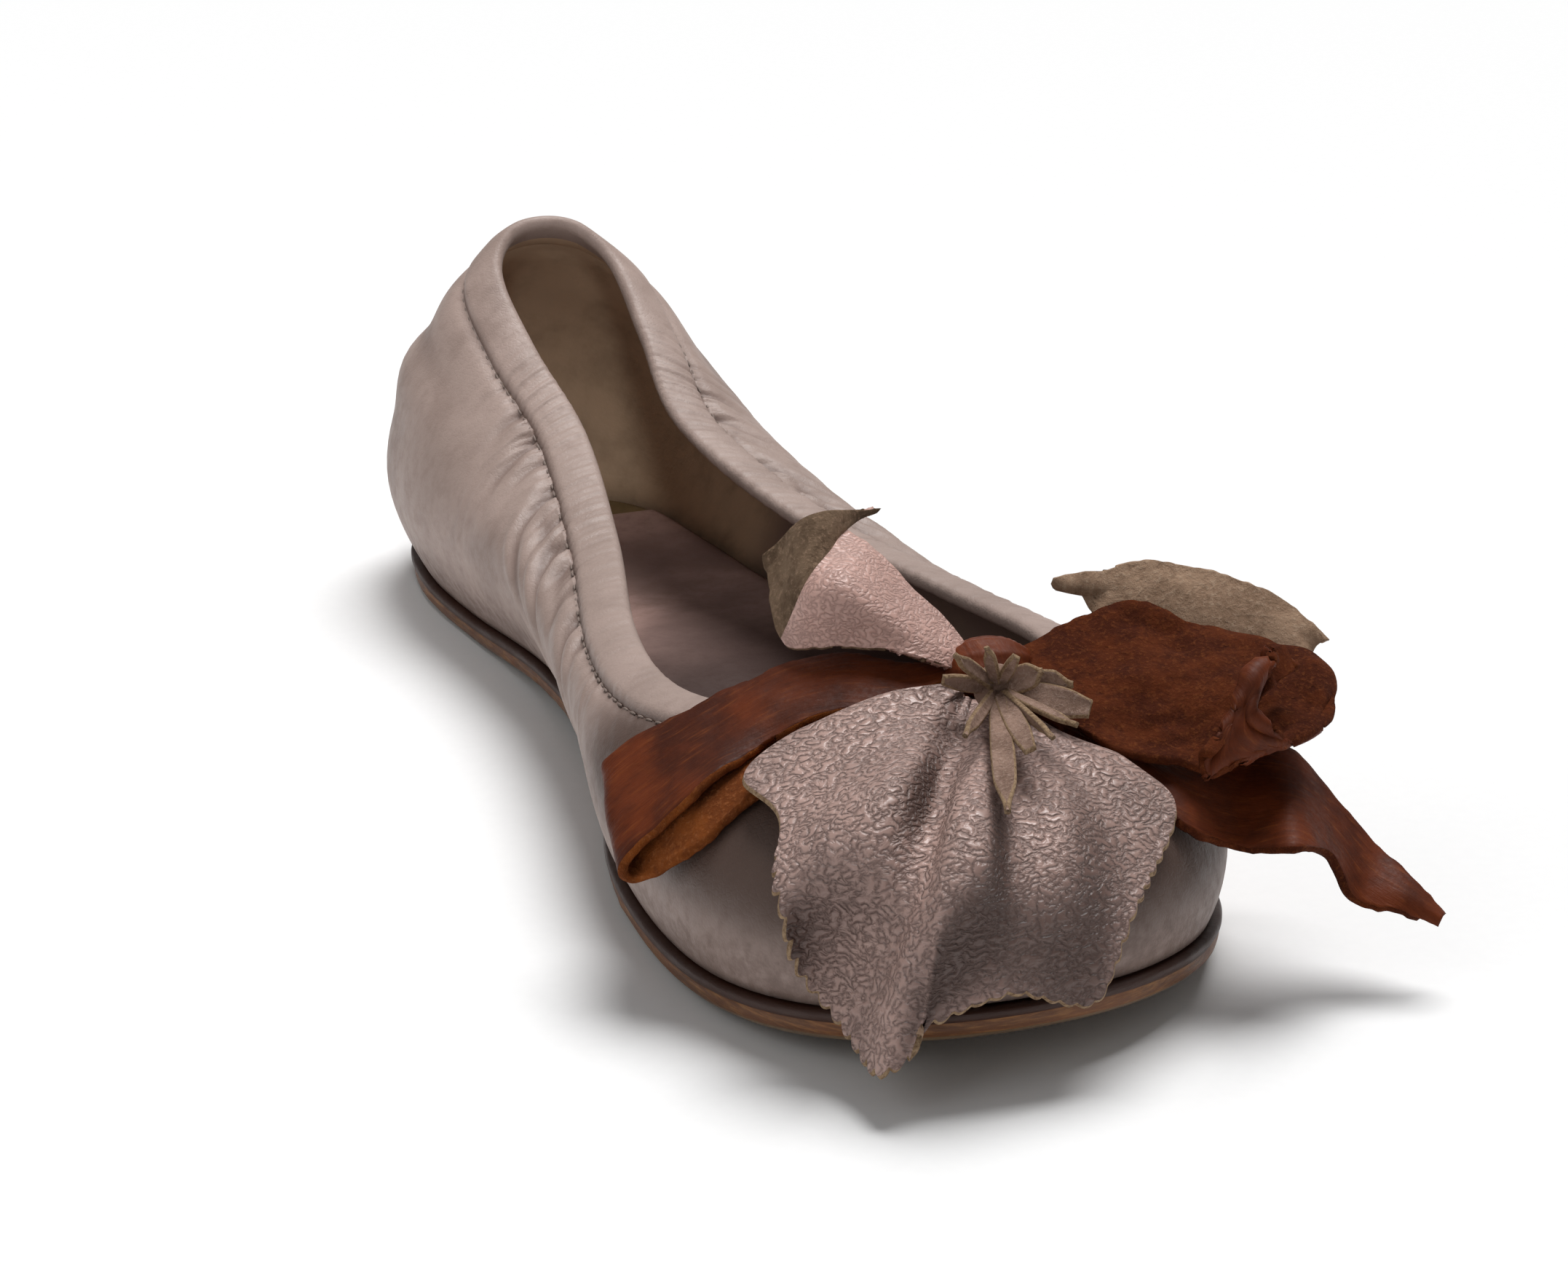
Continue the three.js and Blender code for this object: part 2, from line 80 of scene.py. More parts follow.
# The sole's edge from heel to toe: along (share of LENGTH), inner and outer (shares of BALL_WIDTH), and swell
# and lift, which pull the upper's wall outwards and upwards in mm.
SOLE_EDGE = [
    (0.000, 0.000, 0.000, 9.5, 25),
    (0.016, 0.167, 0.161, 10.5, 25),
    (0.065, 0.292, 0.280, 11.5, 23),
    (0.163, 0.339, 0.327, 12.0, 20),
    (0.306, 0.310, 0.369, 11.0, 17),
    (0.449, 0.304, 0.429, 9.5, 15),
    (0.580, 0.375, 0.488, 8.0, 15),
    (0.686, 0.464, 0.518, 8.0, 17),
    (0.784, 0.494, 0.506, 8.0, 19),
    (0.873, 0.476, 0.452, 8.0, 20),
    (0.941, 0.393, 0.327, 7.5, 21),
    (0.986, 0.244, 0.143, 7.0, 21),
    (1.000, 0.060, -0.060, 7.0, 21),
]

# The topline over the same places: along, inner, outer, height (0 at INSTEP_HEIGHT, 1 at HEEL_HEIGHT), and
# hang and drop, which pull the wall below it outwards and downwards in mm.
TOPLINE = [
    (0.090, 0.000, 0.000, 1.000, 15, 11),
    (0.094, 0.075, 0.080, 0.945, 15, 11),
    (0.118, 0.122, 0.132, 0.750, 17, 10),
    (0.180, 0.110, 0.132, 0.420, 21, 8),
    (0.272, 0.090, 0.114, 0.090, 24, 5),
    (0.416, 0.168, 0.195, -0.150, 20, 4),
    (0.563, 0.285, 0.313, -0.215, 15, 3),
    (0.665, 0.327, 0.363, -0.195, 13, 2),
    (0.733, 0.292, 0.321, -0.137, 15, 1),
    (0.773, 0.214, 0.226, -0.078, 18, 0),
    (0.792, 0.131, 0.131, -0.031, 21, 0),
    (0.799, 0.067, 0.048, -0.008, 24, 0),
    (0.800, 0.012, -0.012, 0.000, 25, 0),
]

# The bow and flower, by ribs across each piece: back, middle and front points in mm from the knot.
KNOT = np.array([6.0, -172.0, 38.5])
KNOT_SIZE = np.array([7.0, 5.5, 4.4])
KNOT_RISE = 2.6
RIBBON_THICKNESS = 1.4
PETAL_THICKNESS = 1.2
STRIP_THICKNESS = 0.77
FLOWER_FACE = np.array([-0.386, -0.828, 0.407])
BUTTON = np.array([-3.0, -10.0, 3.5])
BUTTON_SIZE = np.array([3.4, 3.4, 1.2])

PETAL_FRONT = [
    [(-7, -5, 3), (-21.5, -4.5, 2), (-36, -4.5, -2)],
    [(-7, -5, 2.5), (-25, -10, 0), (-40, -9, -5)],
    [(-6.5, -5.5, 2), (-25, -14.5, -1), (-38.5, -18.5, -7)],
    [(-6.5, -5, 1.5), (-27.5, -23, -3), (-42, -26.5, -14.5)],
    [(-6, -5.5, 0.5), (-28.5, -31, -6), (-40.5, -33, -24.5)],
    [(-5.5, -5.5, 0.5), (-27, -37.5, -9.5), (-36.5, -47, -31.5)],
    [(-5, -5.5, 0), (-23, -38.5, -8), (-30, -45.5, -27.5)],
    [(-4, -6, 0), (-18, -40, -5), (-18, -49, -22.5)],
    [(-3, -6.5, 0), (-12, -39.5, -7), (-6, -47.5, -26.5)],
    [(-2.5, -7, 0), (-5, -33.5, -5), (1.5, -44.5, -15.5)],
    [(-1.5, -7, 0.5), (2, -26, -3), (13.5, -32.5, -9)],
    [(-0.5, -7.5, 1), (3.5, -21.5, -2), (13.5, -28, -6)],
]

LOOP_LEFT = [
    [(-3.5, 1, 3), (-4, 0, 2.5), (-5, -1, 2)],
    [(-12, 3.5, 3.5), (-14.5, 0, 2), (-16.5, -3, 0.5)],
    [(-18.5, 8, 4), (-22, 2.5, 2), (-25, -1.5, -0.5)],
    [(-26.5, 11, 2), (-30.5, 4.5, -0.5), (-34, -1.5, -3.5)],
    [(-39, 13.5, -3.5), (-42, 5, -6), (-44, -4, -7.5)],
    [(-46.5, 16, -7.5), (-49, 6.5, -10.5), (-50, -2.5, -13)],
    [(-51, 17, -11), (-53.5, 7, -14.5), (-55, -2, -18)],
    [(-49, 16, -14), (-51.5, 6.5, -17), (-52.5, -1.5, -20.5)],
    [(-44, 6.5, -8.5), (-46.5, -1, -11.5), (-47, -8, -14.5)],
    [(-35.5, 6.5, -5.5), (-37, -2, -6), (-38, -9.5, -7.5)],
    [(-21.5, 4, -1.5), (-22.5, -2, -2), (-23.5, -8, -3)],
    [(-11, 0.5, 0.5), (-11.5, -2.5, 0), (-12, -6, -1.5)],
    [(-4, -0.5, 0), (-4, -2, -0.5), (-4, -3.5, -1)],
]

LOOP_RIGHT = [
    [(2.5, 0.5, 3.5), (2.5, -1.5, 2.5), (2, -3.5, 2)],
    [(9, 2.5, 4.5), (7, -6, 2), (6, -13, -1.5)],
    [(15.5, 3, 6.5), (12.5, -8.5, 2), (9, -20.5, -2.5)],
    [(23, 2.5, 8), (18.5, -11.5, 2), (15, -23.5, -5)],
    [(30, -1.5, 6.5), (24.5, -15, 0.5), (20, -26, -6)],
    [(37.5, -8.5, 4), (30.5, -19, 0), (22, -27.5, -5)],
    [(43.5, -16, 2), (34.5, -23.5, -0.5), (23.5, -29, -3.5)],
    [(40.5, -24.5, -2), (33.5, -28.5, -2), (24, -31.5, -3)],
    [(32, -30, -2), (27.5, -31.5, -2), (21, -33.5, -3)],
    [(26, -29.5, 3.5), (23, -31.5, 1), (17.5, -34.5, -3)],
    [(30.5, -25, 8), (25.5, -28.5, 5.5), (17, -33.5, -2)],
]

# The right loop with its free end curled over into a narrow scroll.
SUEDE_END = LOOP_RIGHT + [
    [(34, -22.5, 9), (28.5, -26.5, 6.8), (17.4, -33, -1)],
    [(36, -24.5, 6.5), (30, -27.5, 5), (17.8, -33.2, -1.2)],
]

TAIL_RIGHT = [
    [(3.5, -1, -1), (3, -2.5, -1.5), (2.5, -4.5, -2)],
    [(13.5, -4.5, -3.5), (10.5, -12, -3.5), (8.5, -18.5, -4.5)],
    [(21, -14, -7), (17, -23, -8), (14.5, -30, -11)],
    [(28, -18.5, -7.5), (26.5, -24.5, -12), (23.5, -31, -16)],
    [(36.5, -19.5, -8), (33, -28.5, -11.5), (29, -37.5, -14.5)],
    [(42.5, -24, -15), (39.5, -29, -17), (36, -34, -18)],
    [(47, -28.5, -21), (43.5, -32, -22.5), (40.5, -35, -25)],
    [(49.5, -34.5, -24), (47.5, -36.5, -25), (46, -37.5, -26.5)],
    [(52.5, -38.5, -28), (51.5, -39.5, -28), (51, -39.5, -29)],
]

PETAL_BUD = [
    [(-1.5, 1, 3.5), (-2, 0, 3), (-2.5, -0.5, 1.5)],
    [(-4, 5.5, 8), (-8, 1, 7), (-10.5, -1, 5.5)],
    [(-8, 10, 12.5), (-14, 3, 11), (-16.5, 2.5, 7)],
    [(-11.5, 15, 17), (-19.5, 6, 15), (-23, 6.5, 6.5)],
    [(-13.5, 19, 19), (-22.5, 10, 15.5), (-26, 11.5, 6.5)],
    [(-7, 22.5, 20), (-19, 18, 21.5), (-25, 21.5, 15.5)],
]

PETAL_RIGHT = [
    [(3, 3, 1.5), (4, 2, 1), (4.5, 1.5, 0)],
    [(15, 10.5, 5), (15, 7, 2.5), (15.5, 3.5, 0.5)],
    [(25, 11.5, 10.5), (26, 6.5, 5.5), (27.5, 2.5, 0.5)],
    [(35.5, 8, 10.5), (35.5, 2.5, 6), (36.5, -2.5, 1)],
    [(45.5, -1.5, 7), (44.5, -4.5, 4.5), (44.5, -7, 1.5)],
    [(49.5, -8, 2.5), (48.5, -7.5, 2), (47.5, -7.5, 1)],
]

# The flower's strips: tip in mm from the knot, how far the tip stands off the flower's face and half the
# strip's width in mm, and its tilt round its own length in radians.
STAMENS = [
    ((-10, -7.5, 4.5), 4.0, 1.1, 0.7),
    ((-8.5, -8, 8), 6.0, 0.9, -0.6),
    ((-5, -10.5, 9.5), 5.0, 1.0, 0.9),
    ((-1.5, -12.5, 8.5), 3.0, 0.9, -0.8),
    ((2, -13.5, 6.5), 1.0, 1.6, 0.2),
    ((6, -15, 4.5), 0.5, 1.9, -0.1),
    ((6.5, -19.5, 2.5), 0.0, 1.9, 0.3),
    ((2, -24.5, 2.5), 3.0, 0.9, 1.0),
    ((-2.5, -26.5, 2), 4.5, 0.8, -1.1),
    ((-7, -29, 2), 1.0, 1.3, 0.4),
    ((-16, -41.5, -0.5), 0.0, 1.4, -0.3),
    ((-13.5, -22.5, 2.5), 3.0, 1.0, 0.9),
]

# Painted light on the petals: the side that the colour is painted palest on, as if lit from there, faces up
# and to the inner side of the shoe; parts that face away from it get painted shade.
PAINTED_LIGHT_SIDE = np.array([-0.55, 0.0, 0.84])

# Folds of the leaf: place along its outer edge, where the fold starts on the way out from the flower's middle
# (both as shares), width as a share of the edge, and height in mm.
LEAF_FOLDS = [
    (0.31, 0.15, 0.060, 2.6),
    (0.43, 0.40, 0.050, -3.0),
    (0.56, 0.15, 0.050, 2.4),
    (0.67, 0.30, 0.045, -1.4),
    (0.78, 0.30, 0.050, 1.2),
    (0.88, 0.20, 0.040, -0.8),
]

# The row of PETAL_BUD past which the petal is folded over.
BUD_FOLD = 4

# Creases of the upper, placed on each side. run is mm along the topline from the heel's middle, and
# fall is mm down the wall from the stitch line: start run, start fall, end run, end fall, width, depth.
CREASES = [
    (6, 13, 44, 6, 5.0, 1.3),
    (16, 26, 44, 14, 7.0, 0.8),
    (47, 1, 50, 10, 1.8, 0.6),
    (56, 1, 62, 14, 2.0, 0.9),
    (63, 2, 67, 9, 1.6, 0.5),
    (74, 1, 89, 20, 2.4, 1.2),
    (82, 3, 95, 5, 2.8, 1.1),
    (92, 2, 112, 24, 2.6, 1.4),
    (101, 2, 113, 5, 2.4, 1.0),
    (109, 1, 117, 12, 1.9, 0.7),
    (121, 1, 138, 17, 2.2, 1.0),
    (131, 1, 137, 8, 1.6, 0.5),
]

# Where the elastic gathers the topline, in mm of run: the stretch over which the gathers start, the stretch
# over which they come to stand further apart, and the stretches over which they lose a share of their
# strength.
GATHER_START = (24, 44)
GATHERS_SLACKEN = (72, 105)
GATHER_LOSSES = [
    (85, 120, 0.4),
    (150, 175, 0.7),
]

# The sole's side from the tread to the upper rim: mm out from its edge, mm above its underside, and how far
# it is dark rim and worn tread, from 0 to 1.
SOLE_PROFILE = [
    (-2.4, 0.0, 0, 1),
    (-1.7, 0.15, 0, 1),
    (-1.1, 0.6, 0, 1),
    (-0.65, 1.1, 0, 0.6),
    (-0.45, 1.5, 0, 0),
    (-0.3, 2.1, 0, 0),
    (-0.3, 2.7, 0, 0),
    (-0.45, SOLE_THICKNESS - 1.55, 0.2, 0),
    (-0.15, SOLE_THICKNESS - 1.3, 1, 0),
    (0.0, SOLE_THICKNESS - 1.0, 1, 0),
    (0.0, SOLE_THICKNESS - 0.5, 1, 0),
    (-0.15, SOLE_THICKNESS - 0.2, 1, 0),
    (-0.5, SOLE_THICKNESS, 1, 0),
    (-2.0, SOLE_THICKNESS, 1, 0),
]

# The camera: turn and rise in degrees as seen from the knot, distance from the knot and aim in metres, lens
# and sensor in mm, and the nearest distance it shows in metres.
CAMERA_TURN = -25.0
CAMERA_RISE = 21.0
CAMERA_DISTANCE = 0.52
CAMERA_AIM = (0.004, -0.100, 0.022)
CAMERA_LENS = 85.0
SENSOR_WIDTH = 36.0
CAMERA_CLIP_START = 0.01

# The lamps: kind, place and aim in metres, and what else is set on each.
LAMPS = {
    "key_light": ("SUN", (0.30, 0.20, 1.0), CAMERA_AIM, {"energy": 3.0, "angle": math.radians(34)}),
    "left_softbox": ("AREA", (-0.75, -0.4, 0.6), CAMERA_AIM, {"energy": 1.0, "size": 0.6}),
    "opening_spot": (
        "SPOT",
        (-0.16, -0.50, 0.44),
        (0.003, 0.0, 0.042),
        {"energy": 8.0, "spot_size": math.radians(10), "spot_blend": 1.0, "shadow_soft_size": 0.06},
    ),
}

# The strength of the sky, and half the floor's size and its drop below the sole in metres.
SKY_STRENGTH = 0.22
FLOOR_HALF_SIZE = 12.0
FLOOR_DROP = 0.0002

# How finely the meshes are divided: steps between two rows of a table round the shoe, steps up a rib, steps
# along and across between the ribs of a sheet, columns across the sole and the sock, and rows up the upper.
ROUND_STEPS = 75
RIB_STEPS = 200
RIBBON_STEPS = (16, 20)
LEAF_STEPS = (44, 40)
BUD_STEPS = (30, 30)
TAN_PETAL_STEPS = (40, 30)
SOLE_COLUMNS = 24
SOCK_COLUMNS = 40
UPPER_OUTER_ROWS = 40
UPPER_INNER_ROWS = 12

# The faces of a sheet by their material: its grain side, its flesh side and its cut edge.
GRAIN, FLESH, CUT = range(3)

UP = np.array([0, 0, 1.0])


def linear(hex_colour):
    """An sRGB hex colour as linear red, green and blue, with full alpha."""
    channels = [int(hex_colour[i : i + 2], 16) / 255 for i in (1, 3, 5)]
    return (*(c / 12.92 if c <= 0.04045 else ((c + 0.055) / 1.055) ** 2.4 for c in channels), 1.0)


def darker(colour, share):
    """A colour with only a share of its light."""
    return (*(share * c for c in colour[:3]), 1.0)


def length_property(name, description, default_mm):
    """A size in metres whose default is given in mm."""
    return bpy.props.FloatProperty(
        name=name, description=description, default=default_mm * MM, min=0.0, unit="LENGTH", precision=5
    )


def colour_property(name, description, hex_colour):
    """A colour whose default is an sRGB hex value."""
    return bpy.props.FloatVectorProperty(
        name=name, description=description, default=linear(hex_colour), size=4, min=0, max=1, subtype="COLOR"
    )


class FlatSizes(bpy.types.PropertyGroup):
    """Small sizes of the leather work that a user would change."""

    gather_pitch: length_property("Gather pitch", "Distance between two gathers of the topline", 1.8)
    gather_depth: length_property("Gather depth", "Depth of a gather at the stitch line", 0.6)
    stitch_spacing: length_property("Stitch spacing", "Distance between two stitches", 2.6)
    stitch_length: length_property("Stitch length", "Visible length of one stitch", 1.9)
    thread_thickness: length_property("Thread thickness", "Thickness of the sewing thread", 0.45)
    tooth_pitch: length_property("Pinked tooth pitch", "Distance between two teeth of a pinked edge", 2.7)
    tooth_depth: length_property("Pinked tooth depth", "Depth of a tooth of a pinked edge", 2.0)
    furrow_size: length_property("Leaf furrow size", "Size of one furrow of the leaf's crinkled grain", 1.1)


class FlatColours(bpy.types.PropertyGroup):
    """Colours of the leathers and the thread."""

    upper: colour_property("Upper", "Grey-pink nappa of the upper", "#9E8A81")
    upper_pale: colour_property("Upper, rubbed", "Upper where it is stretched and rubbed", "#A8938A")
    upper_shade: colour_property("Upper, handled", "Upper where it is handled", "#836F66")
    # Painted shade in the troughs of the upper's folds and creases, and the colour of its dark scuffs.
    upper_crease_shade_and_dirt: colour_property("Upper in creases", "Upper in its creases and near the sole", "#6A564E")
    # Painted shadow of the bow and flower on the vamp under them.
    upper_shadow_under_bow: colour_property("Upper under the bow", "Upper that the bow has kept dark", "#463229")
    lining: colour_property("Heel lining", "Olive-tan lining behind the heel", "#C8AA8C")
    lining_front: colour_property("Front lining", "Mauve-brown lining in front of the heel", "#7E655B")
    lining_rubbed: colour_property("Lining, rubbed", "Lining where the foot has rubbed it", "#86705A")
    insole: colour_property("Insole", "Mauve-brown sock", "#BC9A90")
    insole_worn: colour_property("Insole, worn", "Sock where it is worn", "#806760")
    # Painted shade over the front of the sock, under the vamp and the bow.
    insole_painted_front_shade: colour_property("Insole, trodden", "Sock under the forefoot", "#301D18")
    heel_pad: colour_property("Heel pad", "Bare tan strip behind the sock", "#8A7350")
    heel_pad_worn: colour_property("Heel pad, worn", "Heel pad where it is worn", "#6B583B")
    sole_edge: colour_property("Sole edge", "Worn edge of the sole", "#744627")
    sole_waxed: colour_property("Sole edge, waxed", "Edge of the sole that still has its wax", "#5E3719")
    sole_fibre: colour_property("Sole fibres", "Pale fibres in the sole's edge", "#A8743F")
    sole_rim: colour_property("Sole rim", "Dark upper rim of the sole", "#3A1E12")
    sole_tread: colour_property("Sole tread", "Scuffed underside and bevel of the sole", "#7C654C")
    sole_dirt: colour_property("Sole dirt", "Dirt rubbed into the tread", "#5F4B38")
    ribbon: colour_property("Ribbon", "Smooth brown ribbon leather", "#662C10")
    ribbon_bent: colour_property("Ribbon, bent", "Ribbon where bending has drawn the oil away", "#8A4A1E")
    ribbon_shade: colour_property("Ribbon, oiled", "Ribbon where the oil is thick", "#3F1808")
    suede: colour_property("Ribbon suede", "Flesh side of the brown ribbon", "#5C2A12")
    pearl: colour_property("Leaf", "Pearly crinkled leaf", "#B6978D")
    # The leaf's painted shade: in its furrows, and where it faces away from the side it is painted as lit
    # from.
    pearl_shade: colour_property("Leaf furrows", "Leaf in its furrows and away from its pale side", "#46312A")
    pink: colour_property("Bud petal", "Pink pebbled leather", "#D2A99D")
    # Painted shade in the bud petal's furrows.
    pink_shade: colour_property("Bud furrows", "Bud petal in its furrows", "#8E6F66")
    tan: colour_property("Tan suede", "Tan suede of the petals' flesh side", "#AC8E76")
    raw_edge: colour_property("Raw edge", "Cut edge of the leather", "#AC9070")
    raw_fibre: colour_property("Raw fibres", "Dark fibres in a cut edge", "#6F5238")
    stamen: colour_property("Stamens", "Tan-grey leather strips", "#AA8C7C")
    thread: colour_property("Thread", "Sewing thread of the topline", "#8B7A71")
    sock_thread: colour_property("Sock thread", "Pale thread at the sock's back edge", "#B9A99B")
    floor: colour_property("Floor", "Pale studio floor", "#F4F4F4")
    floor_fibre: colour_property("Floor fibres", "Fibres in the floor's paper", "#CBCBCB")


def curve_through(points, steps, closed=False):
    """Points on the smooth curve through a run of points, with so many steps to a span."""
    points = np.asarray(points, float)
    if closed:
        run = np.concatenate([points[-1:], points, points[:2]])
    else:
        run = np.concatenate([2 * points[:1] - points[1:2], points, 2 * points[-1:] - points[-2:-1]])
    before, start, after, beyond = (part[:, None] for part in (run[:-3], run[1:-2], run[2:-1], run[3:]))
    t = np.linspace(0, 1, steps, endpoint=False).reshape((1, steps) + (1,) * (points.ndim - 1))
    spans = 0.5 * (
        2 * start
        + (after - before) * t
        + (2 * before - 5 * start + 4 * after - beyond) * t**2
        + (3 * start - before - 3 * after + beyond) * t**3
    )
    curve = spans.reshape((-1,) + points.shape[1:])
    return curve if closed else np.concatenate([curve, points[-1:]])


def ramp(low, high, value):
    """0 below low, 1 above high, and a straight rise between."""
    return np.clip((value - low) / (high - low), 0, 1)


def smoothstep(low, high, value):
    """0 below low, 1 above high, and an even rise between."""
    t = ramp(low, high, value)
    return t * t * (3 - 2 * t)


def wander(value, seed):
    """A smooth wandering line between -1 and 1 that changes over about one unit."""
    count = 512
    knots = np.random.default_rng(seed).uniform(-1, 1, count)
    cell = np.floor(value).astype(int)
    t = smoothstep(0, 1, value - cell)
    return knots[cell % count] * (1 - t) + knots[(cell + 1) % count] * t


def hills(x, y, seed):
    """Smooth hills and hollows between -1 and 1, about one unit across."""
    count = 64
    heights = np.random.default_rng(seed).uniform(-1, 1, (count, count))
    column = np.floor(x).astype(int)
    row = np.floor(y).astype(int)
    t = smoothstep(0, 1, x - column)
    u = smoothstep(0, 1, y - row)
    left, right = column % count, (column + 1) % count
    near, far = row % count, (row + 1) % count
    near_height = heights[left, near] * (1 - t) + heights[right, near] * t
    far_height = heights[left, far] * (1 - t) + heights[right, far] * t
    return near_height * (1 - u) + far_height * u


def unit(vectors):
    """Vectors of length one."""
    tiny = 1e-9
    return vectors / np.maximum(np.linalg.norm(vectors, axis=-1, keepdims=True), tiny)


def walked_along(line):
    """Mm walked along a line of points."""
    return np.concatenate([[0], np.cumsum(np.linalg.norm(np.diff(line, axis=0), axis=1))])


def underside(along):
    """Height of the sole's underside: flat under heel and forefoot, raised at the arch and the toe."""
    arch = smoothstep(*ARCH_START, along) - smoothstep(*ARCH_END, along)
    toe = np.maximum(0, along - TOE_START) / (1 - TOE_START)
    return ARCH_RISE * arch + TOE_SPRING * toe**2


def around_shoe(table):
    """A table's rows as a closed run: heel to toe on the inner side, and back on the outer side."""
    rows = np.array(table, float)
    others = rows[:, [0, *range(3, rows.shape[1])]]
    inner = np.column_stack([-rows[:, 1], others])
    outer = np.column_stack([rows[:, 2], others])
    return curve_through(np.concatenate([inner, outer[-2:0:-1]]), ROUND_STEPS, closed=True)


def in_plan(run, height):
    """The places of a run round the shoe, in mm, at a height."""
    return np.column_stack([run[:, 0] * BALL_WIDTH, HEEL_CENTRE - run[:, 1] * LENGTH, height])


def outwards(ring):
    """Outward level direction at each point of a ring round the shoe."""
    step = np.roll(ring, -1, 0) - np.roll(ring, 1, 0)
    return unit(np.column_stack([step[:, 1], -step[:, 0], np.zeros(len(ring))]))


class Last:
    """The shoe's form: the sole's edge, the topline, and the curved ribs of the wall between them."""

    def __init__(self):
        sole = around_shoe(SOLE_EDGE)
        top = around_shoe(TOPLINE)
        self.count = len(sole)
        self.along = sole[:, 1]
        self.edge = in_plan(sole, np.zeros(self.count))
        self.topline = in_plan(top, INSTEP_HEIGHT + top[:, 2] * (HEEL_HEIGHT - INSTEP_HEIGHT))
        self.sole_out = outwards(self.edge)
        foot = self.sole_ring(-SOLE_LEDGE, SOLE_THICKNESS + GAP)
        low = foot + self.sole_out * sole[:, 2:3] + UP * sole[:, 3:4]
        high = self.topline + outwards(self.topline) * top[:, 3:4] - UP * top[:, 4:5]
        self.corners = [foot, low, high, self.topline]
        self.t = np.linspace(0, 1, RIB_STEPS + 1)
        walk = np.linalg.norm(np.diff(self.bezier(np.tile(self.t, (self.count, 1)))[0], axis=1), axis=2)
        self.lengths = np.concatenate([np.zeros((self.count, 1)), np.cumsum(walk, axis=1)], axis=1)
        self.rib_length = self.lengths[:, -1]
        self.casing_share = 1 - CASING_HEIGHT / self.rib_length
        walked = walked_along(np.vstack([self.topline, self.topline[:1]]))
        self.walked = walked[:-1]
        self.run = np.minimum(self.walked, walked[-1] - self.walked)

    def sole_ring(self, outward_by, height):
        """The sole's edge moved outwards, at a height above its underside."""
        ring = self.edge + self.sole_out * outward_by
        ring[:, 2] = underside(self.along) + height
        return ring

    def bezier(self, t):
        """Points and directions on the ribs at their curve values t."""
        t = t[:, :, None]
        a, b, c, d = (corner[:, None] for corner in self.corners)
        s = 1 - t
        points = s**3 * a + 3 * s**2 * t * b + 3 * s * t**2 * c + t**3 * d
        tangents = 3 * s**2 * (b - a) + 6 * s * t * (c - b) + 3 * t**2 * (d - c)
        return points, unit(tangents)

    def wall(self, share):
        """Points, upward directions and outward normals at shares of each rib's length."""
        reached = share * self.rib_length[:, None]
        t = np.array([np.interp(reached[i], self.lengths[i], self.t) for i in range(self.count)])
        points, tangents = self.bezier(t)
        round_step = np.roll(points, -1, 0) - np.roll(points, 1, 0)
        return points, tangents, unit(np.cross(round_step, tangents))


LAST = Last()


def fold(phase):
    """A soft fold: broad rounded ridges with narrower valleys, from -1 to 1."""
    return 1 - 2 * np.abs(np.cos(phase / 2)) ** 1.6


def broad_folds(phase, walked):
    """The broader folds that the gathers run into, about one for every two gathers."""
    gathers_to_a_fold = 2.2
    stray = 1.1 * wander(walked / 11, seed=7)
    return fold(phase / gathers_to_a_fold + stray)


def gathering(run):
    """How strongly the elastic gathers the topline: not at the heel, fully at the sides, little in front."""
    strength = smoothstep(*GATHER_START, run)
    for start, end, loss in GATHER_LOSSES:
        strength = strength * (1 - loss * smoothstep(start, end, run))
    return strength


def gather_phase(place, sizes):
    """Turns of the gathers along the topline, which stand closer together where the elastic pulls hardest."""
    step, longest_run = 0.25, 300
    grid = np.arange(0, longest_run, step)
    pitch = sizes.gather_pitch / MM * (1 + 0.5 * smoothstep(*GATHERS_SLACKEN, grid))
    turns = np.cumsum(step / pitch)
    unevenness = 0.35 * wander(place / 7, seed=3)
    return 2 * math.pi * (np.interp(place, grid, turns) + unevenness)


def crease_relief(run, fall, start_run, start_fall, end_run, end_fall, width, depth):
    """Height of one crease: a trough with a soft ridge on each side, fading out towards its end."""
    span = np.array([end_run - start_run, end_fall - start_fall], float)
    along = (run - start_run) * span[0] + (fall - start_fall) * span[1]
    t = np.clip(along / np.sum(span**2), 0, 1)
    distance = np.hypot(run - start_run - t * span[0], fall - start_fall - t * span[1]) / width
    ridge = 0.45 * np.exp(-((distance - 1.5) ** 2))
    trough = np.exp(-(distance**2))
    return depth * (1 - 0.85 * t) * (ridge - trough)


def upper_relief(sizes, fall):
    """Height of the upper's folds and creases off its smooth wall, for mm of fall below the stitch line."""
    run = LAST.run[:, None]
    walked = LAST.walked[:, None]
    lean = 0.75 * fall * smoothstep(60, 95, run)
    phase = gather_phase(run - lean, sizes)
    strength = gathering(run) * (0.75 + 0.35 * wander(walked / 6, seed=5))
    reach = 1 + 0.5 * wander(walked / 4, seed=9)
    fine_reach, broad_reach = 3.0 * reach, 8.0 * reach
    fine = 0.4 * np.exp(-fall / fine_reach) * fold(phase)
    broad = 0.45 * np.exp(-fall / broad_reach) * broad_folds(phase, walked)
    relief = sizes.gather_depth / MM * (fine + broad) * strength
    outer_side = walked >= walked.max() / 2
    for crease in CREASES:
        aside = 1.6 * wander(np.array([crease[0] * 0.37]), seed=21)[0]
        relief += crease_relief(run - np.where(outer_side, aside, 0.0), fall, *crease)
    seam_depth, seam_width = 0.5, 1.3
    seam = seam_depth * np.exp(-((fall / seam_width) ** 2))
    soft = wander(walked / 23 + fall / 31, seed=13) * 0.35 + wander(walked / 11 - fall / 17, seed=17) * 0.15
    return relief - seam + soft * smoothstep(2, 12, fall) * smoothstep(0, 15, run)


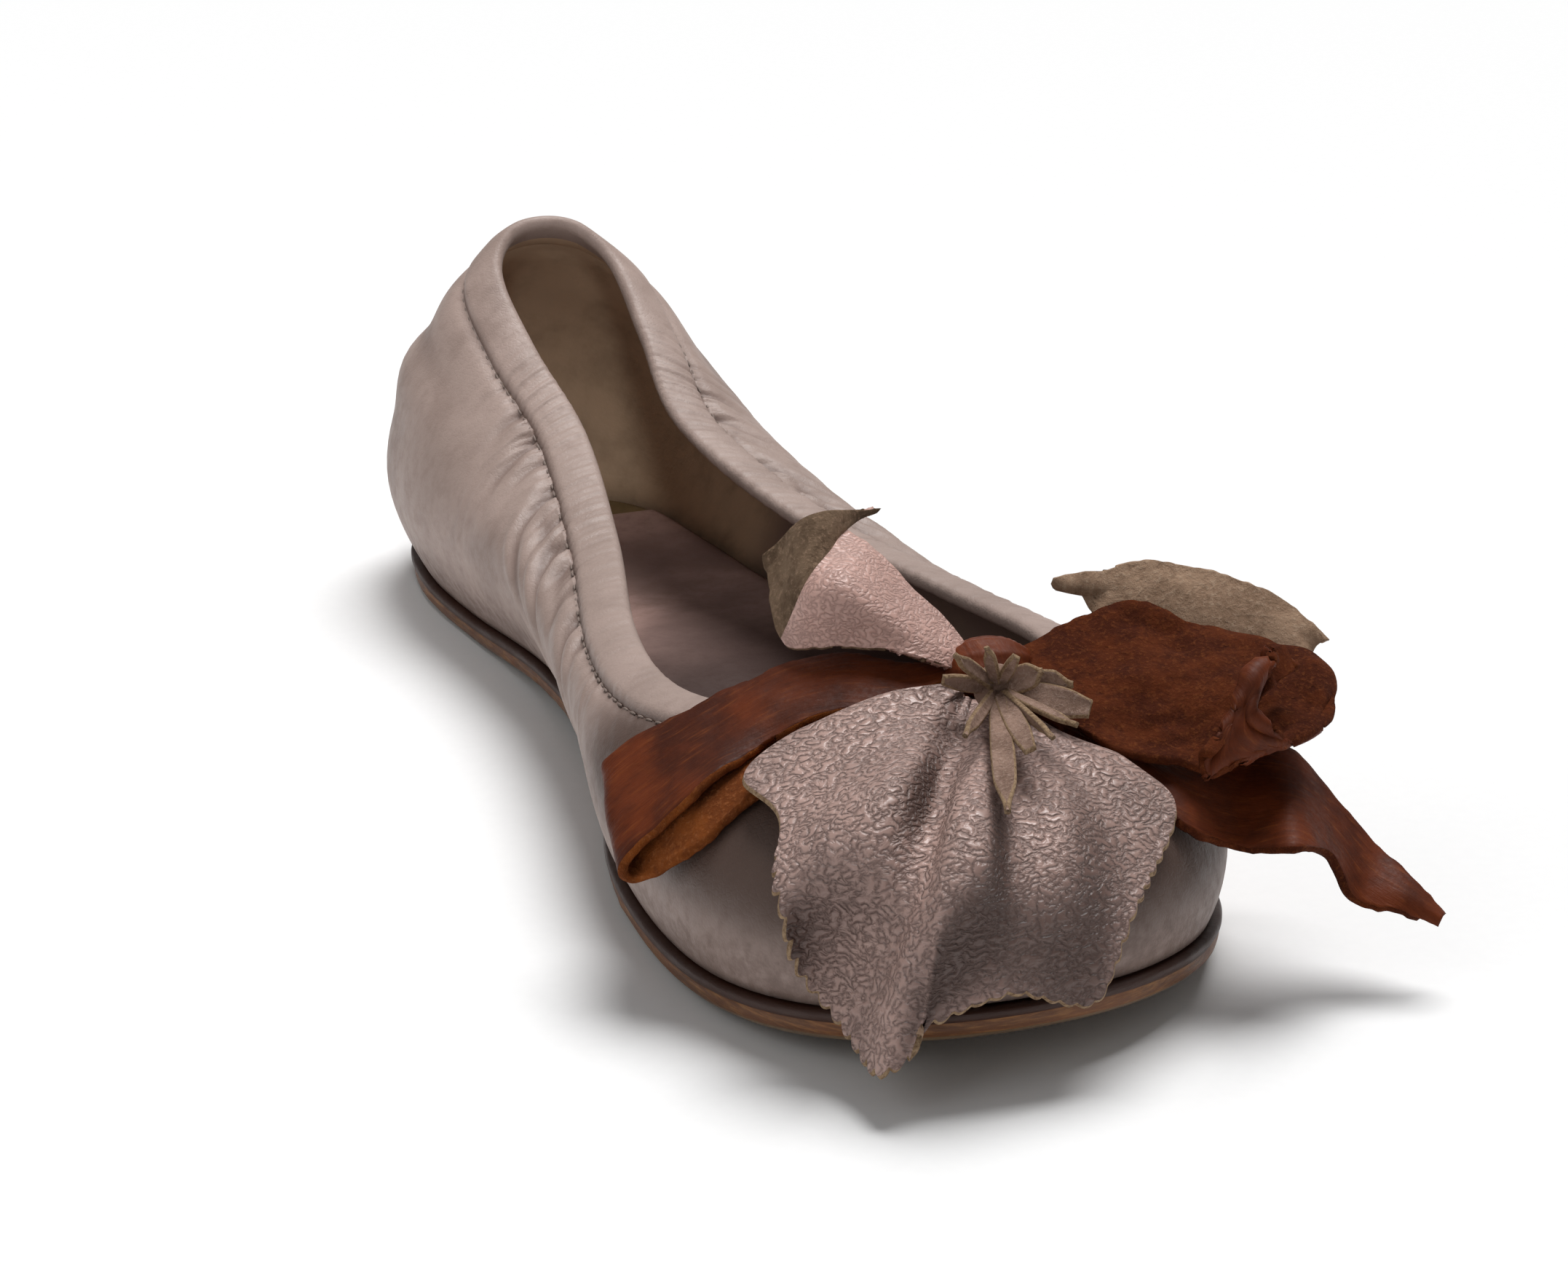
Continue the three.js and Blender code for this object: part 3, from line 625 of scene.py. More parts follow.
def grid_faces(rows, columns, wrap_rows=False, wrap_columns=False):
    """Quads between neighbours in a grid of points that is numbered row by row."""
    r = np.arange(rows if wrap_rows else rows - 1)[:, None]
    c = np.arange(columns if wrap_columns else columns - 1)[None, :]
    next_r = (r + 1) % rows
    next_c = (c + 1) % columns
    corners = [r * columns + c, r * columns + next_c, next_r * columns + next_c, next_r * columns + c]
    return np.stack([np.broadcast_to(k, (r.size, c.size)).ravel() for k in corners], axis=1)


def outward_faces(points, faces):
    """The faces of a closed mesh, turned to point outwards."""
    quads = np.array([list(face) + [face[0]] * (4 - len(face)) for face in faces])
    a, b, c, d = (points[quads[:, k]] for k in range(4))
    volume = np.sum(a * np.cross(b, c)) + np.sum(a * np.cross(c, d))
    return [tuple(face)[::-1] for face in faces] if volume < 0 else [tuple(face) for face in faces]


def keep_values(mesh, values):
    """Keeps named values at the points of a mesh, for its material to read."""
    for key, field in values.items():
        attribute = mesh.attributes.new(key, "FLOAT", "POINT")
        attribute.data.foreach_set("value", np.asarray(field, np.float32).ravel())


def mesh_of(form, name):
    """The mesh of a finished form."""
    mesh = bpy.data.meshes.new(name)
    form.to_mesh(mesh)
    form.free()
    return mesh


def link_piece(name, mesh):
    """A smooth object for a mesh, linked to the scene."""
    mesh.shade_smooth()
    piece = bpy.data.objects.new(name, mesh)
    bpy.context.scene.collection.objects.link(piece)
    return piece


def make_piece(name, points, faces, materials, face_materials=None, values=None):
    """A smooth object from points in mm, with a material for each face and named values for each point."""
    mesh = bpy.data.meshes.new(name)
    points = np.asarray(points, float)
    mesh.from_pydata((points * MM).tolist(), [], outward_faces(points, faces))
    for material in materials:
        mesh.materials.append(material)
    if face_materials is not None:
        mesh.polygons.foreach_set("material_index", np.asarray(face_materials, np.int32))
    keep_values(mesh, values or {})
    mesh.update()
    return link_piece(name, mesh)


def dress(piece, node):
    """Puts a piece in the place of its solid, if it has one."""
    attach(piece, "root")
    if node:
        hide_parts(node)


def add_node(tree, kind, settings=None, inputs=None):
    """Adds a node with its settings, and sets or links its inputs."""
    made = tree.nodes.new(kind)
    for key, value in (settings or {}).items():
        setattr(made, key, value)
    for key, value in (inputs or {}).items():
        if isinstance(value, bpy.types.NodeSocket):
            tree.links.new(value, made.inputs[key])
        else:
            made.inputs[key].default_value = value
    return made


def per_mm(size):
    """The texture scale that gives a pattern of this size in mm on coordinates in metres."""
    return 1 / (size * MM)


def start_material(name, constants=None):
    """A new material with its shader, what is the same all over it, and the piece's own coordinates."""
    material = bpy.data.materials.new(name)
    material.use_nodes = True
    tree = material.node_tree
    tree.nodes.clear()
    shader = add_node(tree, "ShaderNodeBsdfPrincipled", inputs=constants)
    add_node(tree, "ShaderNodeOutputMaterial", inputs={"Surface": shader.outputs["BSDF"]})
    place = add_node(tree, "ShaderNodeTexCoord").outputs["Object"]
    return material, tree, shader, place


def mottle(tree, place, size, detail=3.0, rough=0.55, squeeze=(1, 1, 1)):
    """Uneven variation of a size in mm, as a value from 0 to 1: clouds, or streaks where it is squeezed."""
    scale = tuple(per_mm(size) * share for share in squeeze)
    scaled = add_node(tree, "ShaderNodeMapping", inputs={"Vector": place, "Scale": scale}).outputs["Vector"]
    inputs = {"Vector": scaled, "Scale": 1.0, "Detail": detail, "Roughness": rough}
    return add_node(tree, "ShaderNodeTexNoise", inputs=inputs).outputs["Fac"]


def stained(tree, base, stains):
    """A base colour with stains laid over it in order. A stain is its colour, the value that it follows, the
    two ends between which it comes in, and its full strength. The value is a socket, or the name of a value
    kept at the piece's points."""
    for colour, value, low, high, strength in stains:
        if isinstance(value, str):
            value = add_node(tree, "ShaderNodeAttribute", {"attribute_name": value}).outputs["Fac"]
        share = add_node(
            tree,
            "ShaderNodeMapRange",
            {"interpolation_type": "SMOOTHSTEP"},
            {"Value": value, "From Min": low, "From Max": high, "To Max": strength},
        )
        mixed = add_node(
            tree, "ShaderNodeMix", {"data_type": "RGBA"}, {0: share.outputs["Result"], 6: base, 7: colour}
        )
        base = mixed.outputs[2]
    return base


def finish_surface(tree, shader, base, reliefs, dulled=None):
    """Gives a shader its colour, its relief and the spread of its roughness. A relief is a height and its
    depth in mm, the lowest layer first. dulled is a value, its two ends, and the roughness at each end."""
    tree.links.new(base, shader.inputs["Base Color"])
    bump = {}
    for height, depth_mm in reliefs:
        inputs = {"Strength": 1.0, "Distance": depth_mm * MM, "Height": height, **bump}
        bump = {"Normal": add_node(tree, "ShaderNodeBump", inputs=inputs).outputs["Normal"]}
    if bump:
        tree.links.new(bump["Normal"], shader.inputs["Normal"])
    if dulled:
        inputs = dict(zip(("Value", "From Min", "From Max", "To Min", "To Max"), dulled))
        ranged = add_node(tree, "ShaderNodeMapRange", {"interpolation_type": "SMOOTHSTEP"}, inputs)
        tree.links.new(ranged.outputs["Result"], shader.inputs["Roughness"])


def nappa_leather(colours):
    """Grey-pink nappa, glazed by wear: a fine even grain, soft broad highlights, painted shade in its
    creases, dark scuffs, and a painted shadow under the bow.
    """
    material, tree, shader, place = start_material("grey_pink_nappa_leather", {"Specular IOR Level": 0.4})
    fine = mottle(tree, place, 2.6, 4.0, 0.65)
    grime = add_node(tree, "ShaderNodeAttribute", {"attribute_name": "grime"}).outputs["Fac"]
    scuffs = add_node(tree, "ShaderNodeMath", {"operation": "MULTIPLY"}, {0: grime, 1: fine}).outputs["Value"]
    base = stained(
        tree,
        colours.upper,
        [
            (colours.upper_pale, mottle(tree, place, 24), 0.3, 0.7, 1.0),
            (colours.upper_shade, mottle(tree, place, 9, 4.0, 0.6), 0.42, 0.72, 0.45),
            (colours.upper_shade, fine, 0.45, 0.75, 0.3),
            # Painted shade in the creases, dark scuffs, and the painted shadow of the bow.
            (colours.upper_crease_shade_and_dirt, "crease", 0.1, 0.9, 0.6),
            (colours.upper_crease_shade_and_dirt, scuffs, 0.2, 0.6, 0.6),
            (colours.upper_shadow_under_bow, "painted_bow_shadow", 0.0, 1.0, 0.9),
        ],
    )
    cells = add_node(
        tree, "ShaderNodeTexVoronoi", {"feature": "DISTANCE_TO_EDGE"}, {"Vector": place, "Scale": per_mm(0.8)}
    )
    pores = add_node(
        tree,
        "ShaderNodeMapRange",
        {"interpolation_type": "SMOOTHSTEP"},
        {"Value": cells.outputs["Distance"], "From Max": 0.2},
    )
    reliefs = [(pores.outputs["Result"], 0.02), (mottle(tree, place, 1.5), 0.06)]
    finish_surface(tree, shader, base, reliefs, (fine, 0.3, 0.7, 0.46, 0.6))
    return material


def lining_leather(colours):
    """Unglazed kid lining: matt, olive-tan behind the heel and mauve-brown in front, rubbed by the foot."""
    material, tree, shader, place = start_material("matt_kid_lining_leather", {"Roughness": 0.72})
    base = stained(
        tree,
        colours.lining,
        [
            (colours.lining_front, "forward", 0.0, 1.0, 1.0),
            (colours.lining_rubbed, mottle(tree, place, 9, 4.0), 0.4, 0.75, 0.45),
        ],
    )
    finish_surface(tree, shader, base, [(mottle(tree, place, 0.9), 0.06)])
    return material


def sock_leather(name, colour, worn, shade_towards_toe):
    """Soft sock leather: matt, darkened unevenly by wear, with a painted shade towards its toe end."""
    material, tree, shader, place = start_material(name, {"Specular IOR Level": 0.2})
    fine = mottle(tree, place, 2.5, 4.0, 0.7)
    base = stained(
        tree,
        colour,
        [
            (worn, mottle(tree, place, 34), 0.35, 0.7, 1.0),
            (worn, fine, 0.35, 0.75, 0.4),
            # Painted shade towards the toe end, where the vamp and the bow shade the sock.
            (shade_towards_toe, "forward", 0.0, 1.0, 0.92),
        ],
    )
    reliefs = [(mottle(tree, place, 0.7, 2.0), 0.05), (mottle(tree, place, 5), 0.15)]
    finish_surface(tree, shader, base, reliefs, (fine, 0.35, 0.75, 0.6, 0.75))
    return material


def sole_leather(colours):
    """Vegetable-tanned sole leather: a waxed dark rim, a rubbed edge with fibre streaks, a scuffed tread."""
    material, tree, shader, place = start_material("waxed_sole_leather")
    streaks = mottle(tree, place, 5.5, 5.0, 0.7, squeeze=(1, 1, 9))
    patches = mottle(tree, place, 16, 4.0, 0.6)
    tread = stained(tree, colours.sole_tread, [(colours.sole_dirt, streaks, 0.35, 0.7, 1.0)])
    base = stained(
        tree,
        colours.sole_waxed,
        [
            (colours.sole_edge, patches, 0.35, 0.68, 1.0),
            (colours.sole_fibre, streaks, 0.42, 0.72, 0.6),
            (colours.sole_rim, "rim", 0.35, 0.65, 1.0),
            (tread, "tread", 0.35, 0.75, 1.0),
        ],
    )
    finish_surface(tree, shader, base, [(streaks, 0.18)], (patches, 0.3, 0.7, 0.38, 0.6))
    return material


def ribbon_leather(colours):
    """Oiled pull-up leather: smooth and warm, with fine fibre streaks along it and a soft waxy shine."""
    material, tree, shader, place = start_material("oiled_brown_ribbon_leather", {"Specular IOR Level": 0.16})
    along = add_node(tree, "ShaderNodeAttribute", {"attribute_name": "along"}).outputs["Fac"]
    across = add_node(tree, "ShaderNodeAttribute", {"attribute_name": "across"}).outputs["Fac"]
    on_ribbon = add_node(tree, "ShaderNodeCombineXYZ", inputs={"X": along, "Y": across}).outputs["Vector"]
    streaks = mottle(tree, on_ribbon, 1.0, 4.0, 0.65, squeeze=(0.16, 1.1, 1))
    fine = mottle(tree, place, 0.7, 3.0, 0.65)
    base = stained(
        tree,
        colours.ribbon,
        [
            (colours.ribbon_shade, mottle(tree, place, 12, 4.0, 0.6), 0.34, 0.68, 1.0),
            (colours.ribbon_bent, streaks, 0.5, 0.8, 0.5),
            (colours.ribbon_shade, streaks, 0.48, 0.25, 0.5),
        ],
    )
    finish_surface(tree, shader, base, [(fine, 0.05), (streaks, 0.18)], (fine, 0.3, 0.7, 0.48, 0.64))
    return material


def napped_suede(name, colour, shade, pale, nap_mm, tuft_mm):
    """Suede: a matt nap of short fibres that catches light at its edges, brushed dark and pale in patches."""
    material, tree, shader, place = start_material(
        name,
        {
            "Roughness": 0.95,
            "Specular IOR Level": 0.12,
            "Sheen Weight": 0.06,
            "Sheen Roughness": 0.5,
            "Sheen Tint": pale,
        },
    )
    nap = mottle(tree, place, nap_mm, 5.0, 0.75)
    tuft = mottle(tree, place, tuft_mm, 3.0, 0.6)
    brushed = tuple(0.4 * c + 0.6 * d for c, d in zip(colour, shade))
    base = stained(
        tree,
        colour,
        [
            (brushed, mottle(tree, place, 7, 4.0, 0.65), 0.38, 0.62, 1.0),
            (shade, tuft, 0.5, 0.3, 0.5),
            (pale, nap, 0.48, 0.72, 0.65),
        ],
    )
    finish_surface(tree, shader, base, [(tuft, 0.5), (nap, 0.45)])
    return material


def crinkled_leather(name, colour, shade, furrow_mm, depth_mm, painted_shade_strength):
    """Shrunken-grain leather with a pearly finish: short wavy furrows between soft domed pebbles that catch
    the light, with painted shade in the furrows and where the piece turns away from the side it is painted as
    lit from."""
    material, tree, shader, place = start_material(name)
    warp = add_node(
        tree, "ShaderNodeTexNoise", inputs={"Vector": place, "Scale": per_mm(2 * furrow_mm), "Detail": 2.0}
    )
    bent = add_node(
        tree,
        "ShaderNodeVectorMath",
        {"operation": "MULTIPLY_ADD"},
        {0: warp.outputs["Color"], 1: (1.3 * furrow_mm * MM,) * 3, 2: place},
    )
    stretched = add_node(
        tree, "ShaderNodeMapping", inputs={"Vector": bent.outputs["Vector"], "Scale": (0.75, 1.0, 1.2)}
    )
    furrow = add_node(
        tree,
        "ShaderNodeTexNoise",
        {"noise_type": "RIDGED_MULTIFRACTAL", "normalize": True},
        {
            "Vector": stretched.outputs["Vector"],
            "Scale": per_mm(furrow_mm),
            "Detail": 2.0,
            "Roughness": 0.4,
            "Lacunarity": 2.1,
            "Offset": 0.9,
            "Gain": 2.0,
        },
    ).outputs["Fac"]
    pebbles = add_node(
        tree,
        "ShaderNodeMapRange",
        {"interpolation_type": "SMOOTHSTEP"},
        {"Value": furrow, "From Min": 1.4, "From Max": 0.0},
    )
    base = stained(
        tree,
        colour,
        [
            (darker(colour, 0.8), mottle(tree, place, 11), 0.36, 0.66, 1.0),
            # Painted shade in the furrows, and where the piece faces away from the side it is painted as lit
            # from.
            (shade, furrow, 0.4, 1.5, 0.85),
            (shade, "away", 0.0, 1.0, painted_shade_strength),
        ],
    )
    reliefs = [(pebbles.outputs["Result"], depth_mm)]
    finish_surface(tree, shader, base, reliefs, (furrow, 0.2, 1.2, 0.34, 0.58))
    return material


def raw_edge_leather(colours):
    """Cut leather edge: pale tan fibres, ragged and matt."""
    material, tree, shader, place = start_material("raw_cut_leather_edge", {"Roughness": 0.9})
    fibres = mottle(tree, place, 0.6, 5.0, 0.75)
    base = stained(tree, colours.raw_edge, [(colours.raw_fibre, fibres, 0.35, 0.7, 1.0)])
    finish_surface(tree, shader, base, [(fibres, 0.4)])
    return material


def sewing_thread(name, colour):
    """Twisted sewing thread: matt, with a fine slant of plies."""
    material, tree, shader, place = start_material(name, {"Roughness": 0.8})
    plies = mottle(tree, place, 0.5, 2.0)
    base = stained(tree, colour, [(darker(colour, 0.55), plies, -0.25, 1.25, 1.0)])
    finish_surface(tree, shader, base, [(plies, 0.1)])
    return material


def paper_floor(colours):
    """Matt white paper sweep."""
    material, tree, shader, place = start_material(
        "matt_white_paper", {"Roughness": 0.95, "Specular IOR Level": 0.1}
    )
    base = stained(tree, colours.floor, [(colours.floor_fibre, mottle(tree, place, 2.0), 0.3, 0.7, 0.03)])
    finish_surface(tree, shader, base, [])
    return material


def ring_slab(rings, columns):
    """Points and faces of a solid slab: rings up its side, and a grid across its lower and its upper face."""
    count = len(rings[0])
    half = count // 2
    rows = np.arange(1, half)
    share = np.linspace(0, 1, columns + 1)[1:-1]
    points = [np.concatenate(rings)]
    faces = [tuple(face) for face in grid_faces(len(rings), count, wrap_columns=True)]
    total = len(points[0])
    for level in (0, len(rings) - 1):
        heel = level * count
        inner = rings[level][rows]
        outer = rings[level][count - rows]
        fill = inner[:, None] + (outer - inner)[:, None] * share[None, :, None]
        index = np.empty((half - 1, columns + 1), int)
        index[:, 0] = heel + rows
        index[:, -1] = heel + count - rows
        index[:, 1:-1] = total + np.arange(fill.shape[0] * fill.shape[1]).reshape(fill.shape[:2])
        points.append(fill.reshape(-1, 3))
        total += fill.shape[0] * fill.shape[1]
        across = [tuple(face[::-1]) for face in index.ravel()[grid_faces(half - 1, columns + 1)]]
        across += [(heel, *pair) for pair in zip(index[0, :-1], index[0, 1:])]
        across += [(heel + half, *pair[::-1]) for pair in zip(index[-1, :-1], index[-1, 1:])]
        faces += across if level else [face[::-1] for face in across]
    return np.concatenate(points), faces


def sheet_surface(ribs, steps):
    """The middle surface of a leather sheet through its ribs, with so many steps along and across."""
    middle = curve_through(np.array(ribs, float), steps[0])
    return np.swapaxes(curve_through(np.swapaxes(middle, 0, 1), steps[1]), 0, 1) + KNOT


def surface_normals(middle):
    """Normals of a grid of points."""
    return unit(np.cross(np.gradient(middle, axis=0), np.gradient(middle, axis=1)))


def walked_over(middle):
    """Mm walked along and across a sheet's middle surface, measured from its own middle lines."""
    rows, columns = middle.shape[:2]
    step_along = np.linalg.norm(np.diff(middle, axis=0), axis=2)
    step_across = np.linalg.norm(np.diff(middle, axis=1), axis=2)
    along = np.concatenate([np.zeros((1, columns)), np.cumsum(step_along, axis=0)])
    across = np.concatenate([np.zeros((rows, 1)), np.cumsum(step_across, axis=1)], axis=1)
    return along - along[rows // 2], across - across[:, columns // 2, None]


def sheet_piece(name, middle, thickness, materials, face_up, turned=None):
    """A leather sheet of a thickness round its middle surface: grain side, flesh side and cut edges.
    face_up is 1 where the grain is on the side of the normals, and -1 where it is on the other side.
    turned is the row past which the leather is folded over and shows its flesh side."""
    rows, columns = middle.shape[:2]
    normals = surface_normals(middle)
    top = middle + normals * thickness / 2
    bottom = middle - normals * thickness / 2
    bulge = 0.3 * thickness
    first_edge = middle[:, :1] + unit(middle[:, :1] - middle[:, 1:2]) * bulge
    last_edge = middle[:, -1:] + unit(middle[:, -1:] - middle[:, -2:-1]) * bulge
    rings = np.concatenate([top, last_edge, bottom[:, ::-1], first_edge], axis=1)
    count = rings.shape[1]
    faces = [tuple(face) for face in grid_faces(rows, count, wrap_columns=True)]
    face_materials = []
    for row in range(rows - 1):
        folded = turned is not None and row >= turned
        upper, lower = (GRAIN, FLESH) if (face_up > 0) != folded else (FLESH, GRAIN)
        face_materials += [upper] * (columns - 1) + [CUT] * 2 + [lower] * (columns - 1) + [CUT] * 2
    under = 2 * columns
    for start, way in ((0, -1), ((rows - 1) * count, 1)):
        end = [(j, j + 1, under - 1 - j, under - j) for j in range(columns - 1)]
        end += [(0, under, under + 1), (columns - 1, columns, columns + 1)]
        faces += [tuple(start + corner for corner in face[::way]) for face in end]
        face_materials += [CUT] * len(end)
    along, across = walked_over(middle)
    # Painted shade: grows where the grain side faces away from the side that the petals are painted as lit
    # from.
    away = 1 - smoothstep(-0.1, 0.95, face_up * normals @ PAINTED_LIGHT_SIDE)
    values = {}
    for key, field in (("along", along * MM), ("across", across * MM), ("away", away)):
        values[key] = np.concatenate([field, field[:, -1:], field[:, ::-1], field[:, :1]], axis=1)
    return make_piece(name, rings.reshape(-1, 3), faces, materials, face_materials, values)


def pinked_edge(middle, sizes, strength):
    """Moves the outer edge of a sheet in and out in small pinked teeth, by a strength along that edge."""
    reach_mm = 4.0
    edge = middle[:, -1]
    walked = walked_along(edge)
    phase = walked / (sizes.tooth_pitch / MM) + 0.3 * wander(walked / 9, seed=31)
    teeth = np.abs(np.sin(math.pi * phase)) ** 0.8 - 0.6
    size = sizes.tooth_depth / MM * (0.8 + 0.35 * wander(walked / 5, seed=33)) * strength
    outward = unit(edge - middle[:, -4])
    distance = np.linalg.norm(middle - edge[:, None], axis=2)
    fade = np.clip(1 - distance / reach_mm, 0, 1) ** 2
    return middle + (outward * (teeth * size)[:, None])[:, None] * fade[:, :, None]


def ragged_edges(middle, depth_mm, seed):
    """Frays the two long edges of a sheet: small uneven nicks in the plane of the sheet."""
    moved = middle.copy()
    for column, inward in ((0, 1), (-1, -2)):
        edge = middle[:, column]
        walked = walked_along(edge)
        nick = wander(walked / 1.1, seed) * 0.6 + wander(walked / 4.3, seed + 1)
        moved[:, column] += unit(middle[:, inward] - edge) * (depth_mm * nick)[:, None]
    return moved


def crumpled(middle, hill_mm, height_mm, seed):
    """Raises soft hills and hollows on a sheet, away from the end that is caught."""
    dent_mm = 3.1
    along, across = walked_over(middle)
    height = hills(along / hill_mm, across / hill_mm, seed)
    height = height + 0.4 * hills(along / dent_mm, across / dent_mm, seed + 1)
    free = smoothstep(6, 28, along - along[0])
    return middle + surface_normals(middle) * (height_mm * height * free)[:, :, None]


class FLAT_OT_outsole(bpy.types.Operator):
    """Build the leather outsole with its worn edge and dark rim"""

    bl_idname = "flat.outsole"
    bl_label = "Outsole"

    def execute(self, context):
        wear = 0.22 * wander(LAST.walked / 9, seed=41) + 0.12 * wander(LAST.walked / 3, seed=43)
        wear = wear * smoothstep(0, 6, LAST.run)
        rings = []
        for outward_by, height, rim, tread in SOLE_PROFILE:
            worn = outward_by + wear * (1 - rim) * (0.35 if tread else 1)
            rings.append(LAST.sole_ring(worn[:, None], height))
        points, faces = ring_slab(rings, SOLE_COLUMNS)
        across = (len(points) - len(rings) * LAST.count) // 2
        rim, tread = (np.repeat(column, LAST.count) for column in np.array(SOLE_PROFILE).T[2:])
        values = {
            "rim": np.concatenate([rim, np.zeros(across), np.ones(across)]),
            "tread": np.concatenate([tread, np.ones(across), np.zeros(across)]),
        }
        material = sole_leather(context.scene.flat_colours)
        piece = make_piece("outsole_leather", points, faces, [material], values=values)
        dress(piece, "outsole")
        return {"FINISHED"}


class FLAT_OT_footbed(bpy.types.Operator):
    """Build the sock and the bare heel pad behind it"""

    bl_idname = "flat.footbed"
    bl_label = "Sock and heel pad"

    def execute(self, context):
        colours = context.scene.flat_colours
        half = LAST.count // 2
        edge = LAST.sole_ring(-SOLE_LEDGE - WALL - GAP, SOLE_THICKNESS + GAP)
        inner = edge[1:half]
        outer = edge[LAST.count - 1 : half : -1]
        in_sock = inner[:, 1] < HEEL_CENTRE - HEEL_PAD_LENGTH - GAP
        mauve = sock_leather(
            "mauve_sock_leather", colours.insole, colours.insole_worn, colours.insole_painted_front_shade
        )
        sock = self.layer("sock", inner[in_sock], outer[in_sock], INSOLE_THICKNESS, SOCK_ROUNDING, mauve)
        dress(sock, "insole")
        bare = sock_leather("tan_heel_pad_leather", colours.heel_pad, colours.heel_pad_worn, colours.heel_pad)
        pad = self.layer(
            "heel_pad_leather", inner[~in_sock], outer[~in_sock], HEEL_PAD_THICKNESS, PAD_ROUNDING, bare
        )
        dress(pad, "heel_pad")
        return {"FINISHED"}

    def layer(self, name, inner, outer, thickness, round_mm, leather):
        """A thin layer between its two side edges, with rounded upper edges and a soft hollow."""
        columns = SOCK_COLUMNS
        share = np.linspace(0, 1, columns + 1)
        plan = inner[:, None] + (outer - inner)[:, None] * share[None, :, None]
        width = np.linalg.norm(outer - inner, axis=1)[:, None]
        to_side = np.minimum(share, 1 - share)[None, :] * width
        to_end = np.minimum(inner[0, 1] - plan[:, :, 1], plan[:, :, 1] - inner[-1, 1])
        to_edge = np.minimum(to_side, to_end)
        rounding = round_mm * (1 - np.sqrt(1 - np.clip(1 - to_edge / (2 * round_mm), 0, 1) ** 2))
        hollow = 0.35 * smoothstep(3, 14, to_edge) * (0.6 + 0.4 * wander(plan[:, :, 1] / 30, seed=51))
        upper = plan + UP * (thickness - rounding - hollow)[:, :, None]
        rings = np.concatenate([upper, plan[:, ::-1]], axis=1)
        rows, count = rings.shape[:2]
        faces = [tuple(face) for face in grid_faces(rows, count, wrap_columns=True)]
        for start, way in ((0, -1), ((rows - 1) * count, 1)):
            end = [(j, j + 1, count - 2 - j, count - 1 - j) for j in range(columns)]
            faces += [tuple(start + corner for corner in face[::way]) for face in end]
        # Share towards the toe end; the mauve sock uses it for painted shade under the vamp and the bow.
        values = {"forward": ramp(35, 85, -rings[:, :, 1])}
        return make_piece(name, rings.reshape(-1, 3), faces, [leather], values=values)


